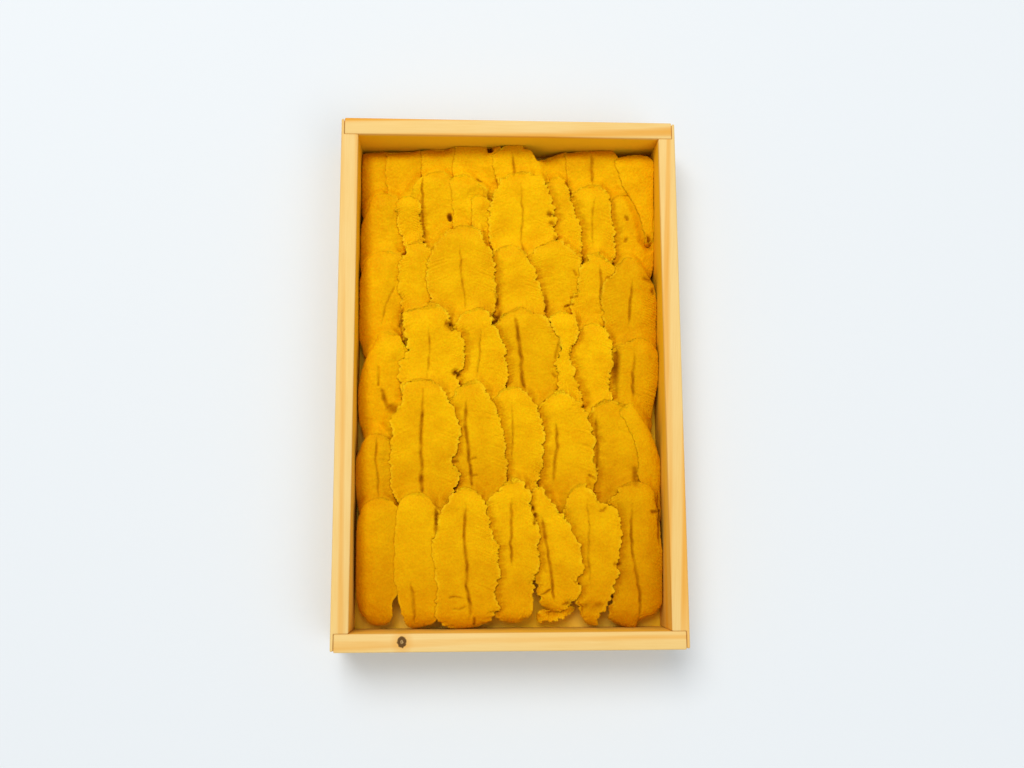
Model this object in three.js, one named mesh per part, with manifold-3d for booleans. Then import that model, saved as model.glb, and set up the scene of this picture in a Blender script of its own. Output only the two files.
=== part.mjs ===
// A shallow open wooden tray filled with six shingled rows of sea urchin tongues.
// Millimetres. X runs across the tray, +Y to its back end, +Z up. The origin is the
// middle of the underside.
import * as THREE from 'three';
import { mergeVertices } from 'three/addons/utils/BufferGeometryUtils.js';
import Module from 'manifold-3d';

const wasm = await Module();
wasm.setup();

// ---- the tray's driving dimensions ----
const TRAY_WIDTH = 120;
const TRAY_LENGTH = 186;
const INNER_DEPTH = 21;
const FLOOR_BOARD = 3.4;
const SIDE_BOARD = 6;
const END_BOARD = 6.1;
const RABBET_LIP = 1; // what is left of a side board over the end of an end board
const SIDE_SHORT = 0.4; // how far a side board's ends stop short of the end boards' faces
const EASED = 0.6; // rounded-over arrises of the boards

const RIM = FLOOR_BOARD + INNER_DEPTH;
const INNER_X = TRAY_WIDTH / 2 - SIDE_BOARD;
const INNER_Y = TRAY_LENGTH / 2 - END_BOARD;

// ---- what all tongues share ----
const GAP = 0.3; // between a tongue and its neighbour, a wall or the floor
const ROUND_STEPS = 12; // vertices round a tongue
const LENGTH_STEPS = 8; // steps from its head to its tail
const SECTION_POWER = 2.6; // 2 is an ellipse, more is flatter on top
const SHOULDER = 0.16; // where along its length the first width is taken
const FOOT = 0.84; // and the last one
const NOSE_ROUND = 0.4; // of the shoulder's width: how long the head's rounding is
const TAIL_ROUND = 0.34; // of the foot's width
const DIP_ROUND = 0.7; // of the thickness: how far the back runs down at both ends
const SMALLEST_FACE = 0.2; // how far simplifying may move the surface

// How far under the rim a row's crowns lie, at the head and at the tail, and how thick
// its tongues are. The front row was laid last, so it lies on the one behind it.
const ROWS = {
  front: { crown: [5.2, 12.2], thick: 9 },
  second: { crown: [5.5, 13.2], thick: 8.6 },
  third: { crown: [5.5, 13.2], thick: 8.6 },
  fourth: { crown: [5.6, 13.2], thick: 8.6 },
  fifth: { crown: [5.8, 13.4], thick: 8.6 },
  back: { crown: [8.8, 14], thick: 8.6 },
};

// No furrow: the middle of the back is not pressed in.
const PLAIN = [0.5, 0.5, 0];

function tongue(head, waist, tail, widths, lift, furrow = PLAIN, own = {}) {
  return { head, waist, tail, widths, lift, furrow, ...own };
}

// Each row's tongues from the left: the middle of the head, of the waist and of the
// tail, the widths at shoulder, waist and foot, and how much higher it lies than its
// row. Then where across it the furrow runs, as a share from the left at head and tail,
// and its depth. A crown or thickness of its own comes last.
const TONGUES = {
  front: [
    tongue([-44, -42], [-45.1, -63], [-45.2, -84.6], [12.3, 12.8, 12], -0.6),
    tongue([-31.5, -40], [-32.9, -63], [-31.8, -85.6], [13.5, 14.9, 13], -0.1),
    tongue([-14.5, -38.5], [-16.1, -62.5], [-15.5, -86.4], [17, 23.3, 22], 0.6, [0.52, 0.54, 1.1]),
    tongue([0.5, -36.3], [2, -60], [0.3, -84], [15.5, 16.6, 13], 0.3, [0.44, 0.42, 0.7]),
    tongue([9.5, -39.8], [17, -60], [14, -80.6], [10.5, 16.6, 17], 0.1, [0.35, 0.4, 0.8]),
    tongue([24.3, -37.3], [31.3, -61], [28.4, -85.4], [15.5, 16.4, 7.5], -0.2, [0.4, 0.45, 0.8]),
    tongue([42.3, -36.6], [45.1, -61.5], [40.5, -86.4], [16, 16.4, 16.5], -0.6, [0.5, 0.55, 0.9]),
    tongue([23, -80], [16.5, -82], [9.6, -83.4], [4, 5, 4.6], 0, PLAIN, { crown: [14.2, 15.2], thick: 5 }),
  ],
  second: [
    tongue([-46.3, -19.5], [-46.5, -36], [-44.7, -52], [10.5, 12.5, 12], -0.6, [0.5, 0.5, 0.8]),
    tongue([-31.8, 0], [-29.7, -26], [-29.5, -52], [16, 25, 18], 0.6, [0.5, 0.45, 1.3]),
    tongue([-13.8, -1.3], [-10, -25], [-11, -49], [15, 18, 15], 0.2, [0.4, 0.25, 1]),
    tongue([0.8, -2.8], [4.7, -26], [3.5, -49], [14.5, 15.8, 11], 0, [0.45, 0.3, 0.7]),
    tongue([16, -5.3], [20.4, -27.5], [19.5, -50], [17, 19.9, 17], -0.2, [0.45, 0.3, 1]),
    tongue([33.3, -8], [38.2, -29], [38, -50], [14, 19.5, 15], -0.7),
    tongue([42.2, -8.8], [50.2, -31], [51, -51], [7.3, 7.8, 6], -0.3),
  ],
  third: [
    tongue([-43, 16.7], [-45.1, -1.5], [-44, -19.7], [11.5, 14.5, 10], -0.5, [0.5, 0.5, 0.6]),
    tongue([-29, 25.8], [-27.6, 3], [-27, -19], [17.5, 22, 14], 0.6, [0.45, 0.45, 1]),
    tongue([-11.8, 25.5], [-8, 4], [-9.5, -17], [14.5, 19, 12], 0.2, [0.55, 0.35, 0.9]),
    tongue([2.8, 26], [9, 5.5], [8.5, -15], [15, 18.5, 13], -0.1, [0.48, 0.2, 1.3]),
    tongue([19, 24.4], [20, 4], [22, -17], [10.8, 6.8, 8], 0.5),
    tongue([30.2, 20.4], [29.6, 1], [31, -18], [12, 15.5, 12], 0.1),
    tongue([48, 15.2], [45, -2.5], [48, -20], [15.5, 17.3, 11], -0.7, [0.42, 0.45, 1.1]),
  ],
  fourth: [
    tongue([-44.5, 46.5], [-44.8, 26], [-45.5, 6], [13, 14, 12], -0.8, [0.75, 0.5, 0.8]),
    tongue([-32.8, 50.2], [-33.6, 30.5], [-32, 11], [10, 13, 9.5], -0.3),
    tongue([-16, 56.2], [-17.2, 33.5], [-15, 11], [16.5, 25, 18], 0.6, [0.45, 0.52, 1]),
    tongue([0, 49], [3.4, 29], [5, 9], [14.5, 18.6, 13], 0.2),
    tongue([16.3, 51], [17.8, 34.5], [16.5, 18], [14, 17, 11], -0.2),
    tongue([32.5, 45.8], [28.5, 28.5], [30.5, 11], [11.5, 12.5, 8.5], -0.1, [0.6, 0.75, 0.7]),
    tongue([43.2, 44.8], [43.3, 24.5], [44.7, 4], [12.5, 20.4, 15], 0.3, [0.55, 0.5, 1]),
  ],
  fifth: [
    tongue([-44.7, 68.3], [-45.1, 51], [-44.5, 33], [10.5, 15.5, 14], -0.7),
    tongue([-36.8, 67.2], [-36.4, 56], [-35, 42], [9.5, 9.8, 6], -0.1),
    tongue([-27, 76.6], [-26.2, 62], [-26.5, 43], [10, 11, 9], -0.2),
    tongue([-17, 75.4], [-16.5, 60], [-13.5, 46], [11, 11, 9], 0),
    tongue([-10.3, 67.3], [-8.6, 55], [-5.5, 43], [5.3, 6, 4.5], -0.3),
    tongue([3.5, 76.5], [4.5, 57], [6, 38], [19, 24.5, 17], 0.7, [0.5, 0.52, 0.7]),
    tongue([17, 75.1], [21, 56.5], [22, 38], [9.3, 12.3, 8.5], 0.1),
    tongue([30, 72.4], [32.4, 53.5], [32.5, 35], [13, 14, 10.5], -0.2, [0.4, 0.3, 0.6]),
    tongue([47, 85.2], [47.8, 70], [52, 51], [12.5, 11.8, 4.5], 0, [0.35, 0.3, 0.8], { crown: [7.8, 11] }),
    tongue([41.5, 69.5], [45.2, 53], [45.5, 36], [11, 16.3, 13], -1.6),
  ],
  back: [
    tongue([-48, 83.2], [-47.7, 69], [-47, 55], [10.5, 11.8, 9], -0.8),
    tongue([-38.2, 84.6], [-37.3, 71], [-36.8, 57], [13.5, 14, 10], -0.3),
    tongue([-25.5, 85.6], [-25, 75], [-24.5, 64], [12.5, 13.3, 9], -0.1),
    tongue([-11.5, 86.4], [-11.5, 76], [-11, 63.5], [15, 17, 11], 0.2),
    tongue([0.8, 86.5], [5.7, 75], [6.5, 62], [15, 19.3, 14], 1.8, [0.52, 0.4, 1.1]),
    tongue([16.8, 83.2], [19.2, 74], [19.5, 63], [11, 14.5, 10], -1),
    tongue([29.5, 86.2], [31.2, 74], [32, 61], [18, 21, 13], 0.7, [0.5, 0.5, 1.1]),
  ],
};

// Where a tongue has been pressed in or has curled round an empty place: the middle, the
// half-widths across, along and down, in the space under the rim.
const HOLLOWS = [
  { at: [-41, -8.5, -7], half: [2.6, 4.6, 4.5] },
  { at: [-37.2, 12, -6.5], half: [1.2, 3.4, 4.5] },
  { at: [-19, 2.2, -7], half: [1.8, 1.6, 3.5] },
  { at: [-4.3, 22.3, -7], half: [1.4, 2, 4] },
];

const paint = (color, roughness) => new THREE.MeshStandardMaterial({ color, roughness, metalness: 0 });
const WOOD = paint(0xf3cd86, 0.62);
const ROE = paint(0xe9ab10, 0.42);
const DEEP_ROE = paint(0xd08c08, 0.42);
const DEEPER_FROM = 38; // the tongues that lie further right than this are the deeper ones

// ---- solids and meshes ----
function solidOf(geometry) {
  geometry.deleteAttribute('normal');
  geometry.deleteAttribute('uv');
  const merged = mergeVertices(geometry, 1e-5);
  return new wasm.Manifold(new wasm.Mesh({
    numProp: 3,
    vertProperties: Float32Array.from(merged.attributes.position.array),
    triVerts: Uint32Array.from(merged.index.array),
  }));
}

function meshOf(solid, name, material) {
  const raw = solid.getMesh();
  const geometry = new THREE.BufferGeometry();
  geometry.setAttribute('position', new THREE.BufferAttribute(Float32Array.from(raw.vertProperties), 3));
  geometry.setIndex(new THREE.BufferAttribute(Uint32Array.from(raw.triVerts), 1));
  geometry.computeVertexNormals();
  const mesh = new THREE.Mesh(geometry, material);
  mesh.name = name;
  return mesh;
}

function block(low, high) {
  const size = high.map((value, axis) => value - low[axis]);
  const middle = high.map((value, axis) => (value + low[axis]) / 2);
  return solidOf(new THREE.BoxGeometry(...size).translate(...middle));
}

// ---- the tray ----
// A board standing on its edge: its section, with eased top arrises, run along its length.
function board(thick, long) {
  const half = thick / 2;
  const section = new THREE.Shape();
  section.moveTo(-half, 0);
  section.lineTo(half, 0);
  section.lineTo(half, INNER_DEPTH - EASED);
  section.absarc(half - EASED, INNER_DEPTH - EASED, EASED, 0, Math.PI / 2);
  section.lineTo(EASED - half, INNER_DEPTH);
  section.absarc(EASED - half, INNER_DEPTH - EASED, EASED, Math.PI / 2, Math.PI);
  section.closePath();
  const run = new THREE.ExtrudeGeometry(section, { depth: long, bevelEnabled: false, curveSegments: 4 });
  return run.rotateX(Math.PI / 2).translate(0, long / 2, FLOOR_BOARD);
}

// The side board's two ends are cut back on the inside, so that a thin lip covers the
// end board's end grain.
function sideBoard(side) {
  const middle = side * (TRAY_WIDTH - SIDE_BOARD) / 2;
  let solid = solidOf(board(SIDE_BOARD, TRAY_LENGTH - 2 * SIDE_SHORT).translate(middle, 0, 0));
  const lip = TRAY_WIDTH / 2 - RABBET_LIP;
  const across = side > 0 ? [0, lip] : [-lip, 0];
  for (const end of [-1, 1]) {
    const along = end > 0 ? [INNER_Y, TRAY_LENGTH] : [-TRAY_LENGTH, -INNER_Y];
    solid = solid.subtract(block([across[0], along[0], 0], [across[1], along[1], RIM + 1]));
  }
  return solid;
}

function endBoard(end) {
  const long = TRAY_WIDTH - 2 * RABBET_LIP;
  const middle = end * (TRAY_LENGTH - END_BOARD) / 2;
  return solidOf(board(END_BOARD, long).rotateZ(Math.PI / 2).translate(0, middle, 0));
}

function floorBoard() {
  const halfX = TRAY_WIDTH / 2;
  const halfY = TRAY_LENGTH / 2;
  return block([-halfX, -halfY, 0], [halfX, halfY, FLOOR_BOARD]);
}

// ---- the tongues ----
const blend = (from, to, share) => from + (to - from) * share;

// A curve through three values, at 0, at a half and at 1.
function through([first, middle, last], share) {
  const bend = 2 * (first + last) - 4 * middle;
  return first + (last - first - bend) * share + bend * share * share;
}

// A width along the tongue, from its shoulder, waist and foot widths.
function widthAt([shoulder, waist, foot], share) {
  const place = Math.min(Math.max((share - SHOULDER) / (FOOT - SHOULDER), 0), 1);
  return through([shoulder, waist, foot], place);
}

// 0 at the very end, 1 from one rounding length in, on a quarter ellipse between.
function rounded(distance, length) {
  const left = Math.max(1 - distance / length, 0);
  return Math.sqrt(1 - left * left);
}

// Where a tongue's middle line is at a share of its length, and which way it runs.
function lineAt({ head, waist, tail }, share) {
  const axis = [0, 1].map((k) => [head[k], waist[k], tail[k]]);
  const place = axis.map((values) => through(values, share));
  const nearby = 0.01;
  const step = axis.map((values) => through(values, share + nearby) - through(values, share - nearby));
  const run = Math.hypot(...step);
  return { place, along: step.map((value) => value / run) };
}

// A tongue's closed form, grown all round by a little when it is to cut its neighbours.
// It starts as a round form whose poles are the head and the tail.
function tongueForm(tongue, row, grown) {
  const crown = tongue.crown ?? row.crown;
  const thick = tongue.thick ?? row.thick;
  const [furrowHead, furrowTail, furrowDeep] = tongue.furrow;
  const long = Math.hypot(tongue.tail[0] - tongue.head[0], tongue.tail[1] - tongue.head[1]);
  const nose = NOSE_ROUND * tongue.widths[0];
  const tip = TAIL_ROUND * tongue.widths[2];
  const dip = DIP_ROUND * thick;
  const form = new THREE.SphereGeometry(1, ROUND_STEPS, LENGTH_STEPS);
  const points = form.attributes.position;
  for (let i = 0; i < points.count; i += 1) {
    const share = (1 - points.getY(i)) / 2;
    const fromHead = share * long;
    const fromTail = (1 - share) * long;
    const ends = rounded(fromHead, nose) * rounded(fromTail, tip);
    const half = (widthAt(tongue.widths, share) / 2 + grown) * ends;
    const high = (thick / 2 + grown) * rounded(fromHead, dip) * rounded(fromTail, dip);

    // across runs from 0 at the left edge to 1 at the right; on the back, a ring's
    // topmost vertex is moved into the furrow and its neighbours move with it
    const turn = Math.atan2(points.getZ(i), points.getX(i));
    const even = (1 + Math.cos(turn)) / 2;
    const furrow = blend(furrowHead, furrowTail, share);
    const moved = even < 0.5 ? even * 2 * furrow : furrow + (even - 0.5) * 2 * (1 - furrow);
    const isBack = Math.sin(turn) > 0;
    const isFurrow = isBack && Math.abs(Math.cos(turn)) < 0.01;
    const across = isBack ? moved : even;
    const out = Math.abs(2 * across - 1);
    const rise = Math.pow(Math.max(1 - Math.pow(out, SECTION_POWER), 0), 1 / SECTION_POWER);

    const { place, along } = lineAt(tongue, share);
    const offset = (2 * across - 1) * half;
    const stretch = grown * (2 * share - 1);
    const level = RIM - blend(crown[0], crown[1], share) + tongue.lift - thick / 2;
    points.setXYZ(
      i,
      place[0] + stretch * along[0] - offset * along[1],
      place[1] + stretch * along[1] + offset * along[0],
      level + (isBack ? rise : -rise) * high - (isFurrow ? Math.min(furrowDeep, high) : 0),
    );
  }
  return solidOf(form);
}

function hollow({ at, half }) {
  const round = new THREE.SphereGeometry(1, 8, 6).scale(...half);
  return solidOf(round.translate(at[0], at[1], RIM + at[2]));
}

function largestOf(solid) {
  const bodies = solid.decompose();
  return bodies.reduce((best, body) => (body.volume() > best.volume() ? body : best));
}

// The tongues are taken from the topmost down, so each is cut by all that lie on it.
function layTongues() {
  const space = block(
    [GAP - INNER_X, GAP - INNER_Y, FLOOR_BOARD + GAP],
    [INNER_X - GAP, INNER_Y - GAP, RIM],
  );
  const hollows = HOLLOWS.map(hollow);
  const laid = [];
  const cutters = [];
  for (const [rowName, tongues] of Object.entries(TONGUES)) {
    const row = ROWS[rowName];
    const named = tongues.map((shape, i) => ({ shape, name: `tongue_${rowName}_${i + 1}` }));
    named.sort((a, b) => b.shape.lift - a.shape.lift);
    for (const { shape, name } of named) {
      let solid = tongueForm(shape, row, 0).intersect(space);
      for (const other of [...cutters, ...hollows]) {
        solid = solid.subtract(other);
      }
      cutters.push(tongueForm(shape, row, GAP));
      const paintedWith = shape.head[0] > DEEPER_FROM ? DEEP_ROE : ROE;
      laid.push(meshOf(largestOf(solid).simplify(SMALLEST_FACE), name, paintedWith));
    }
  }
  return laid.sort((a, b) => a.name.localeCompare(b.name));
}

const tray = new THREE.Group();
tray.add(meshOf(floorBoard(), 'tray_floor', WOOD));
tray.add(meshOf(sideBoard(-1), 'tray_side_left', WOOD));
tray.add(meshOf(sideBoard(1), 'tray_side_right', WOOD));
tray.add(meshOf(endBoard(-1), 'tray_end_front', WOOD));
tray.add(meshOf(endBoard(1), 'tray_end_back', WOOD));

const contents = new THREE.Group();
contents.add(...layTongues());

const group = new THREE.Group();
group.add(tray, contents);

export default group;
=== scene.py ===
# %% [markdown]
# # A wooden tray of sea urchin tongues
#
# The real object is a shallow tray of pale softwood in which a fishmonger has laid
# golden-yellow sea urchin tongues in six rows. The row at the back was laid first, and
# each row after it rests on the one behind, like roof shingles.
#
# The solids already hold every board and every tongue at its true size and place. What
# this lesson adds is how they look: sawn wood with its grain, and soft, moist, finely
# ridged roe that lets light in. We start by loading the solids as a fixed frame.

# %% The imported model, and the units
import math

import bpy
import numpy as np
from mathutils import Matrix, Vector


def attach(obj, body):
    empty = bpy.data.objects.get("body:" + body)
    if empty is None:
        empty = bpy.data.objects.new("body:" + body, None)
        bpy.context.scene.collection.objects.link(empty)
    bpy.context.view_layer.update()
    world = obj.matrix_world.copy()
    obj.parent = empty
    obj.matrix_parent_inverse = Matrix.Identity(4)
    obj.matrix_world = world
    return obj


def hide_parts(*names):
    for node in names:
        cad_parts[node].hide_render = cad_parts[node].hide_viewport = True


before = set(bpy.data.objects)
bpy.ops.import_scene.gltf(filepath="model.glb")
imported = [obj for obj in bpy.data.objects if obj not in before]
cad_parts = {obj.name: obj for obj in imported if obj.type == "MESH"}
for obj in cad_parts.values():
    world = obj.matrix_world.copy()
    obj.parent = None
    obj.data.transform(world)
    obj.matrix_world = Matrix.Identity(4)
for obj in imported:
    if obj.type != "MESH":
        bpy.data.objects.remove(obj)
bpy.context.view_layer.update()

MM = 0.001


# %% [markdown]
# Most of Blender's operators act on whatever is selected, and the frame arrives with
# everything selected. So before anything is added we clear the selection, and each
# finished modifier is applied through one small helper.

# %% Selecting one thing at a time
def select_only(piece=None):
    if bpy.context.object and bpy.context.object.mode != "OBJECT":
        bpy.ops.object.mode_set(mode="OBJECT")
    bpy.ops.object.select_all(action="DESELECT")
    if piece:
        piece.select_set(True)
        bpy.context.view_layer.objects.active = piece


def apply_modifier(piece, kind, **settings):
    select_only(piece)
    modifier = piece.modifiers.new(kind.title(), kind)
    for name, value in settings.items():
        setattr(modifier, name, value)
    bpy.ops.object.modifier_apply(modifier=modifier.name)


def settle(piece, node):
    """A finished piece rides on the tray and stands for its solid."""
    select_only(piece)
    bpy.ops.object.transform_apply(location=True, rotation=True, scale=True)
    piece.name = node + "_look"
    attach(piece, "root")
    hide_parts(node)


select_only()
print("nothing is selected now")

# %% [markdown]
# ## Where we look from
#
# The tray is seen from nearly straight above, from a little to the left of its middle
# and nearer to its front end, so that the inside of the back board shows. The camera's
# place comes from the tray's own corners: it is the one place from which they all fall
# where they should in the frame.

# %% The camera
PICTURE_WIDE = 1024
FOCAL_LENGTH = 1002.0  # in pixels of a picture that wide
SENSOR_WIDE = 36.0
CAMERA_PLACE = Vector((-17.2, -56.0, 366.2)) * MM
TURN_X, TURN_Y, TURN_Z = 0.1534, -0.0512, 0.0036  # radians

camera_data = bpy.data.cameras.new("Camera")
camera_data.sensor_width = SENSOR_WIDE
camera_data.lens = SENSOR_WIDE * FOCAL_LENGTH / PICTURE_WIDE
camera = bpy.data.objects.new("Camera", camera_data)
bpy.context.scene.collection.objects.link(camera)
turned = Matrix.Rotation(TURN_X, 4, "X") @ Matrix.Rotation(TURN_Y, 4, "Y") @ Matrix.Rotation(TURN_Z, 4, "Z")
camera.matrix_world = Matrix.Translation(CAMERA_PLACE) @ turned
bpy.context.scene.camera = camera
print("lens", round(camera_data.lens, 1), "mm, height", round(CAMERA_PLACE.z / MM), "mm")

# %% [markdown]
# ## The table and the light
#
# Food on a white ground is lit by large soft sources, so that nothing casts a hard
# shadow. A plain pale floor, an even pale sky and two wide panels are enough. The strong
# one, above the back left corner, makes the back ends of the tongues glow and leaves the
# inside of the back board in shade. The weak one, from the front right, keeps the shade
# soft. The view is set to Standard, because the filmic views take the strength out of a
# yellow as deep as this one.

# %% Floor, sky and panels
FLOOR_SIZE = 4.0  # m
FLOOR_COLOUR = (0.81, 0.84, 0.865, 1)
SKY_COLOUR = (0.93, 0.97, 1.0, 1)
SKY_STRENGTH = 0.5
PANEL_SIZE = 0.9  # m

select_only()
bpy.ops.mesh.primitive_plane_add(size=FLOOR_SIZE, location=(0, 0, 0))
floor = bpy.context.object
floor.name = "table"
pale = bpy.data.materials.new("pale table")
pale.use_nodes = True
table_sockets = pale.node_tree.nodes["Principled BSDF"].inputs
for socket, value in (("Base Color", FLOOR_COLOUR), ("Roughness", 0.9), ("Specular IOR Level", 0.1)):
    table_sockets[socket].default_value = value
floor.data.materials.append(pale)

sky = bpy.data.worlds.new("sky")
sky.use_nodes = True
sky.node_tree.nodes["Background"].inputs["Color"].default_value = SKY_COLOUR
sky.node_tree.nodes["Background"].inputs["Strength"].default_value = SKY_STRENGTH
bpy.context.scene.world = sky
bpy.context.scene.view_settings.view_transform = "Standard"
bpy.context.scene.view_settings.look = "None"


def panel(name, place, watts, colour):
    """A square soft light that faces the middle of the tray."""
    light = bpy.data.lights.new(name, "AREA")
    light.size = PANEL_SIZE
    light.energy = watts
    light.color = colour
    lamp = bpy.data.objects.new(name, light)
    lamp.location = place
    lamp.rotation_euler = (-Vector(place)).to_track_quat("-Z", "Y").to_euler()
    bpy.context.scene.collection.objects.link(lamp)


panel("window light", (-0.38, 0.75, 1.5), 16.6, (1.0, 0.985, 0.96))
panel("room light", (0.6, -0.6, 1.2), 4.5, (0.96, 0.98, 1.0))
print("two panels, sky strength", SKY_STRENGTH)

# %% [markdown]
# ## Building a material from nodes
#
# Every finish here is a small network of nodes. Writing it out node by node soon gets
# long, so a few helpers add a node with its settings, join it to what it reads and hand
# back the socket that the next node needs.

# %% Node helpers
MIX_READS, MIX_GIVES = (0, 6, 7), 2  # where a Mix node keeps its share and its colours


def new_tree(name):
    material = bpy.data.materials.new(name)
    material.use_nodes = True
    tree = material.node_tree
    tree.nodes.clear()
    return material, tree


def add(tree, kind, sockets=None, **settings):
    node = tree.nodes.new("ShaderNode" + kind)
    for name, value in settings.items():
        setattr(node, name, value)
    for name, value in (sockets or {}).items():
        if isinstance(value, bpy.types.NodeSocket):
            tree.links.new(value, node.inputs[name])
        else:
            node.inputs[name].default_value = value
    return node


def mix_colours(tree, share, first, second, blend="MIX"):
    """First and second colour mixed by a share; each may be a colour or a socket."""
    node = tree.nodes.new("ShaderNodeMix")
    node.data_type = "RGBA"
    node.blend_type = blend
    for index, value in zip(MIX_READS, (share, first, second)):
        if isinstance(value, bpy.types.NodeSocket):
            tree.links.new(value, node.inputs[index])
        else:
            node.inputs[index].default_value = value
    return node.outputs[MIX_GIVES]


def ramp(tree, share, stops):
    node = tree.nodes.new("ShaderNodeValToRGB")
    tree.links.new(share, node.inputs["Fac"])
    band = node.color_ramp
    while len(band.elements) < len(stops):
        band.elements.new(0.5)
    for element, (position, colour) in zip(band.elements, stops):
        element.position = position
        element.color = colour
    return node.outputs["Color"]


def remap(tree, value, low, high, to_low=0.0, to_high=1.0):
    sockets = {"Value": value, "From Min": low, "From Max": high, "To Min": to_low, "To Max": to_high}
    return add(tree, "MapRange", sockets).outputs["Result"]


def maths(tree, operation, *values):
    return add(tree, "Math", dict(enumerate(values)), operation=operation).outputs[0]


def noise(tree, place, scale, detail, roughness=0.5):
    sockets = {"Vector": place, "Scale": scale, "Detail": detail, "Roughness": roughness}
    return add(tree, "TexNoise", sockets).outputs["Fac"]


def bump(tree, height, strength, distance):
    sockets = {"Strength": strength, "Distance": distance * MM, "Height": height}
    return add(tree, "Bump", sockets).outputs["Normal"]


def surface(tree, sockets):
    """The last two nodes of every finish."""
    shader = add(tree, "BsdfPrincipled", sockets)
    output = add(tree, "OutputMaterial")
    tree.links.new(shader.outputs["BSDF"], output.inputs["Surface"])


print("helpers for materials are ready")

# %% [markdown]
# ## The tray's own sizes
#
# A few sizes drive everything else: the tray's outside, the thickness of its boards and
# how deep it is inside. The finish of the wood needs them too, because the inner faces
# are stained by the roe and the outer ones are not.

# %% The tray's sizes
TRAY_WIDTH, TRAY_LENGTH = 120.0, 186.0  # mm, as are all sizes from here on
FLOOR_BOARD, INNER_DEPTH = 3.4, 21.0
SIDE_BOARD, END_BOARD = 6.0, 6.1
RABBET_LIP, SIDE_SHORT = 1.0, 0.4
RIM = FLOOR_BOARD + INNER_DEPTH
INNER_X = TRAY_WIDTH / 2 - SIDE_BOARD
INNER_Y = TRAY_LENGTH / 2 - END_BOARD
EASED = 0.45  # radius of a sanded arris
JOINT = 0.14  # what shows as a dark line between two boards
print("inner space", 2 * INNER_X, "x", round(2 * INNER_Y, 1), "x", INNER_DEPTH, "mm")

# %% [markdown]
# ## Sawn softwood
#
# The boards are pale spruce or pine, cut thin and never varnished. A board's face shows
# the tree's yearly growth as long, slightly wavy streaks, with fine fibres between
# them. Bands of a wave give the streaks and a noise gives the fibres; both are squeezed
# along the board, so that they run on for centimetres. Side boards run along Y and end
# boards along X, so the same finish is turned by a mapping node. The inner faces have
# taken up the yellow of the roe. On the floor that stain is painted brighter still, for
# the light that the roe bounces down between the tongues.

# %% The wood
PALE_WOOD = (0.89, 0.62, 0.24, 1)
WARM_WOOD = (0.88, 0.545, 0.155, 1)
STREAK_WOOD = (0.84, 0.38, 0.04, 1)
STAINED_WOOD = (0.93, 0.52, 0.01, 1)
# the floor's roe stain, painted brighter to stand in for light bounced from the roe
SOAKED_AND_LIT_WOOD = (1.0, 0.62, 0.02, 1)
WOOD_SHEEN = (1.0, 0.85, 0.6, 1)
FIBRE_TONES = [(0.3, (0.95, 0.9, 0.8, 1)), (0.6, (1, 1, 1, 1))]
KNOT_HALO = (0.80, 0.36, 0.05, 1)
KNOT_HEART = [
    (0.30, (0.20, 0.10, 0.03, 1)), (0.42, (0.55, 0.36, 0.14, 1)), (0.52, (0.34, 0.19, 0.06, 1)),
    (0.66, (0.10, 0.045, 0.012, 1)), (0.80, (0.13, 0.06, 0.015, 1))]
ALONG = 0.03  # how much slower the grain changes along a board than across it
STAIN_SPREAD = 0.2  # mm that the stain reaches into the corners between boards
STAIN_ENDS, STAIN_FULL = 0.05, 1.8  # mm under the rim
STAIN_FADES = (-70, 15)  # mm along the tray, where it grows towards the back


def knot_share(tree, place, centre, half):
    """0 at a knot's middle, 1 on its rim, for a knot that goes through a board's face."""
    flat = add(tree, "Mapping", {
        "Vector": place, "Location": [-c / h for c, h in zip(centre, half)] + [0],
        "Scale": [1 / (h * MM) for h in half] + [0]})
    return add(tree, "VectorMath", {"Vector": flat.outputs["Vector"]}, operation="LENGTH").outputs["Value"]


def inside_tray(tree, place, at_front):
    """1 on the faces that look into the tray and on the floor between them."""
    parts = add(tree, "SeparateXYZ", {"Vector": place}).outputs
    share = remap(tree, parts["Y"], *(y * MM for y in STAIN_FADES), at_front, 1.0)
    for axis, inner in (("X", INNER_X), ("Y", INNER_Y)):
        size = maths(tree, "ABSOLUTE", parts[axis])
        within = maths(tree, "LESS_THAN", size, (inner + STAIN_SPREAD) * MM)
        share = maths(tree, "MULTIPLY", share, within)
    height = remap(tree, parts["Z"], (RIM - STAIN_ENDS) * MM, (RIM - STAIN_FULL) * MM)
    return maths(tree, "MULTIPLY", share, height)


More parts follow.
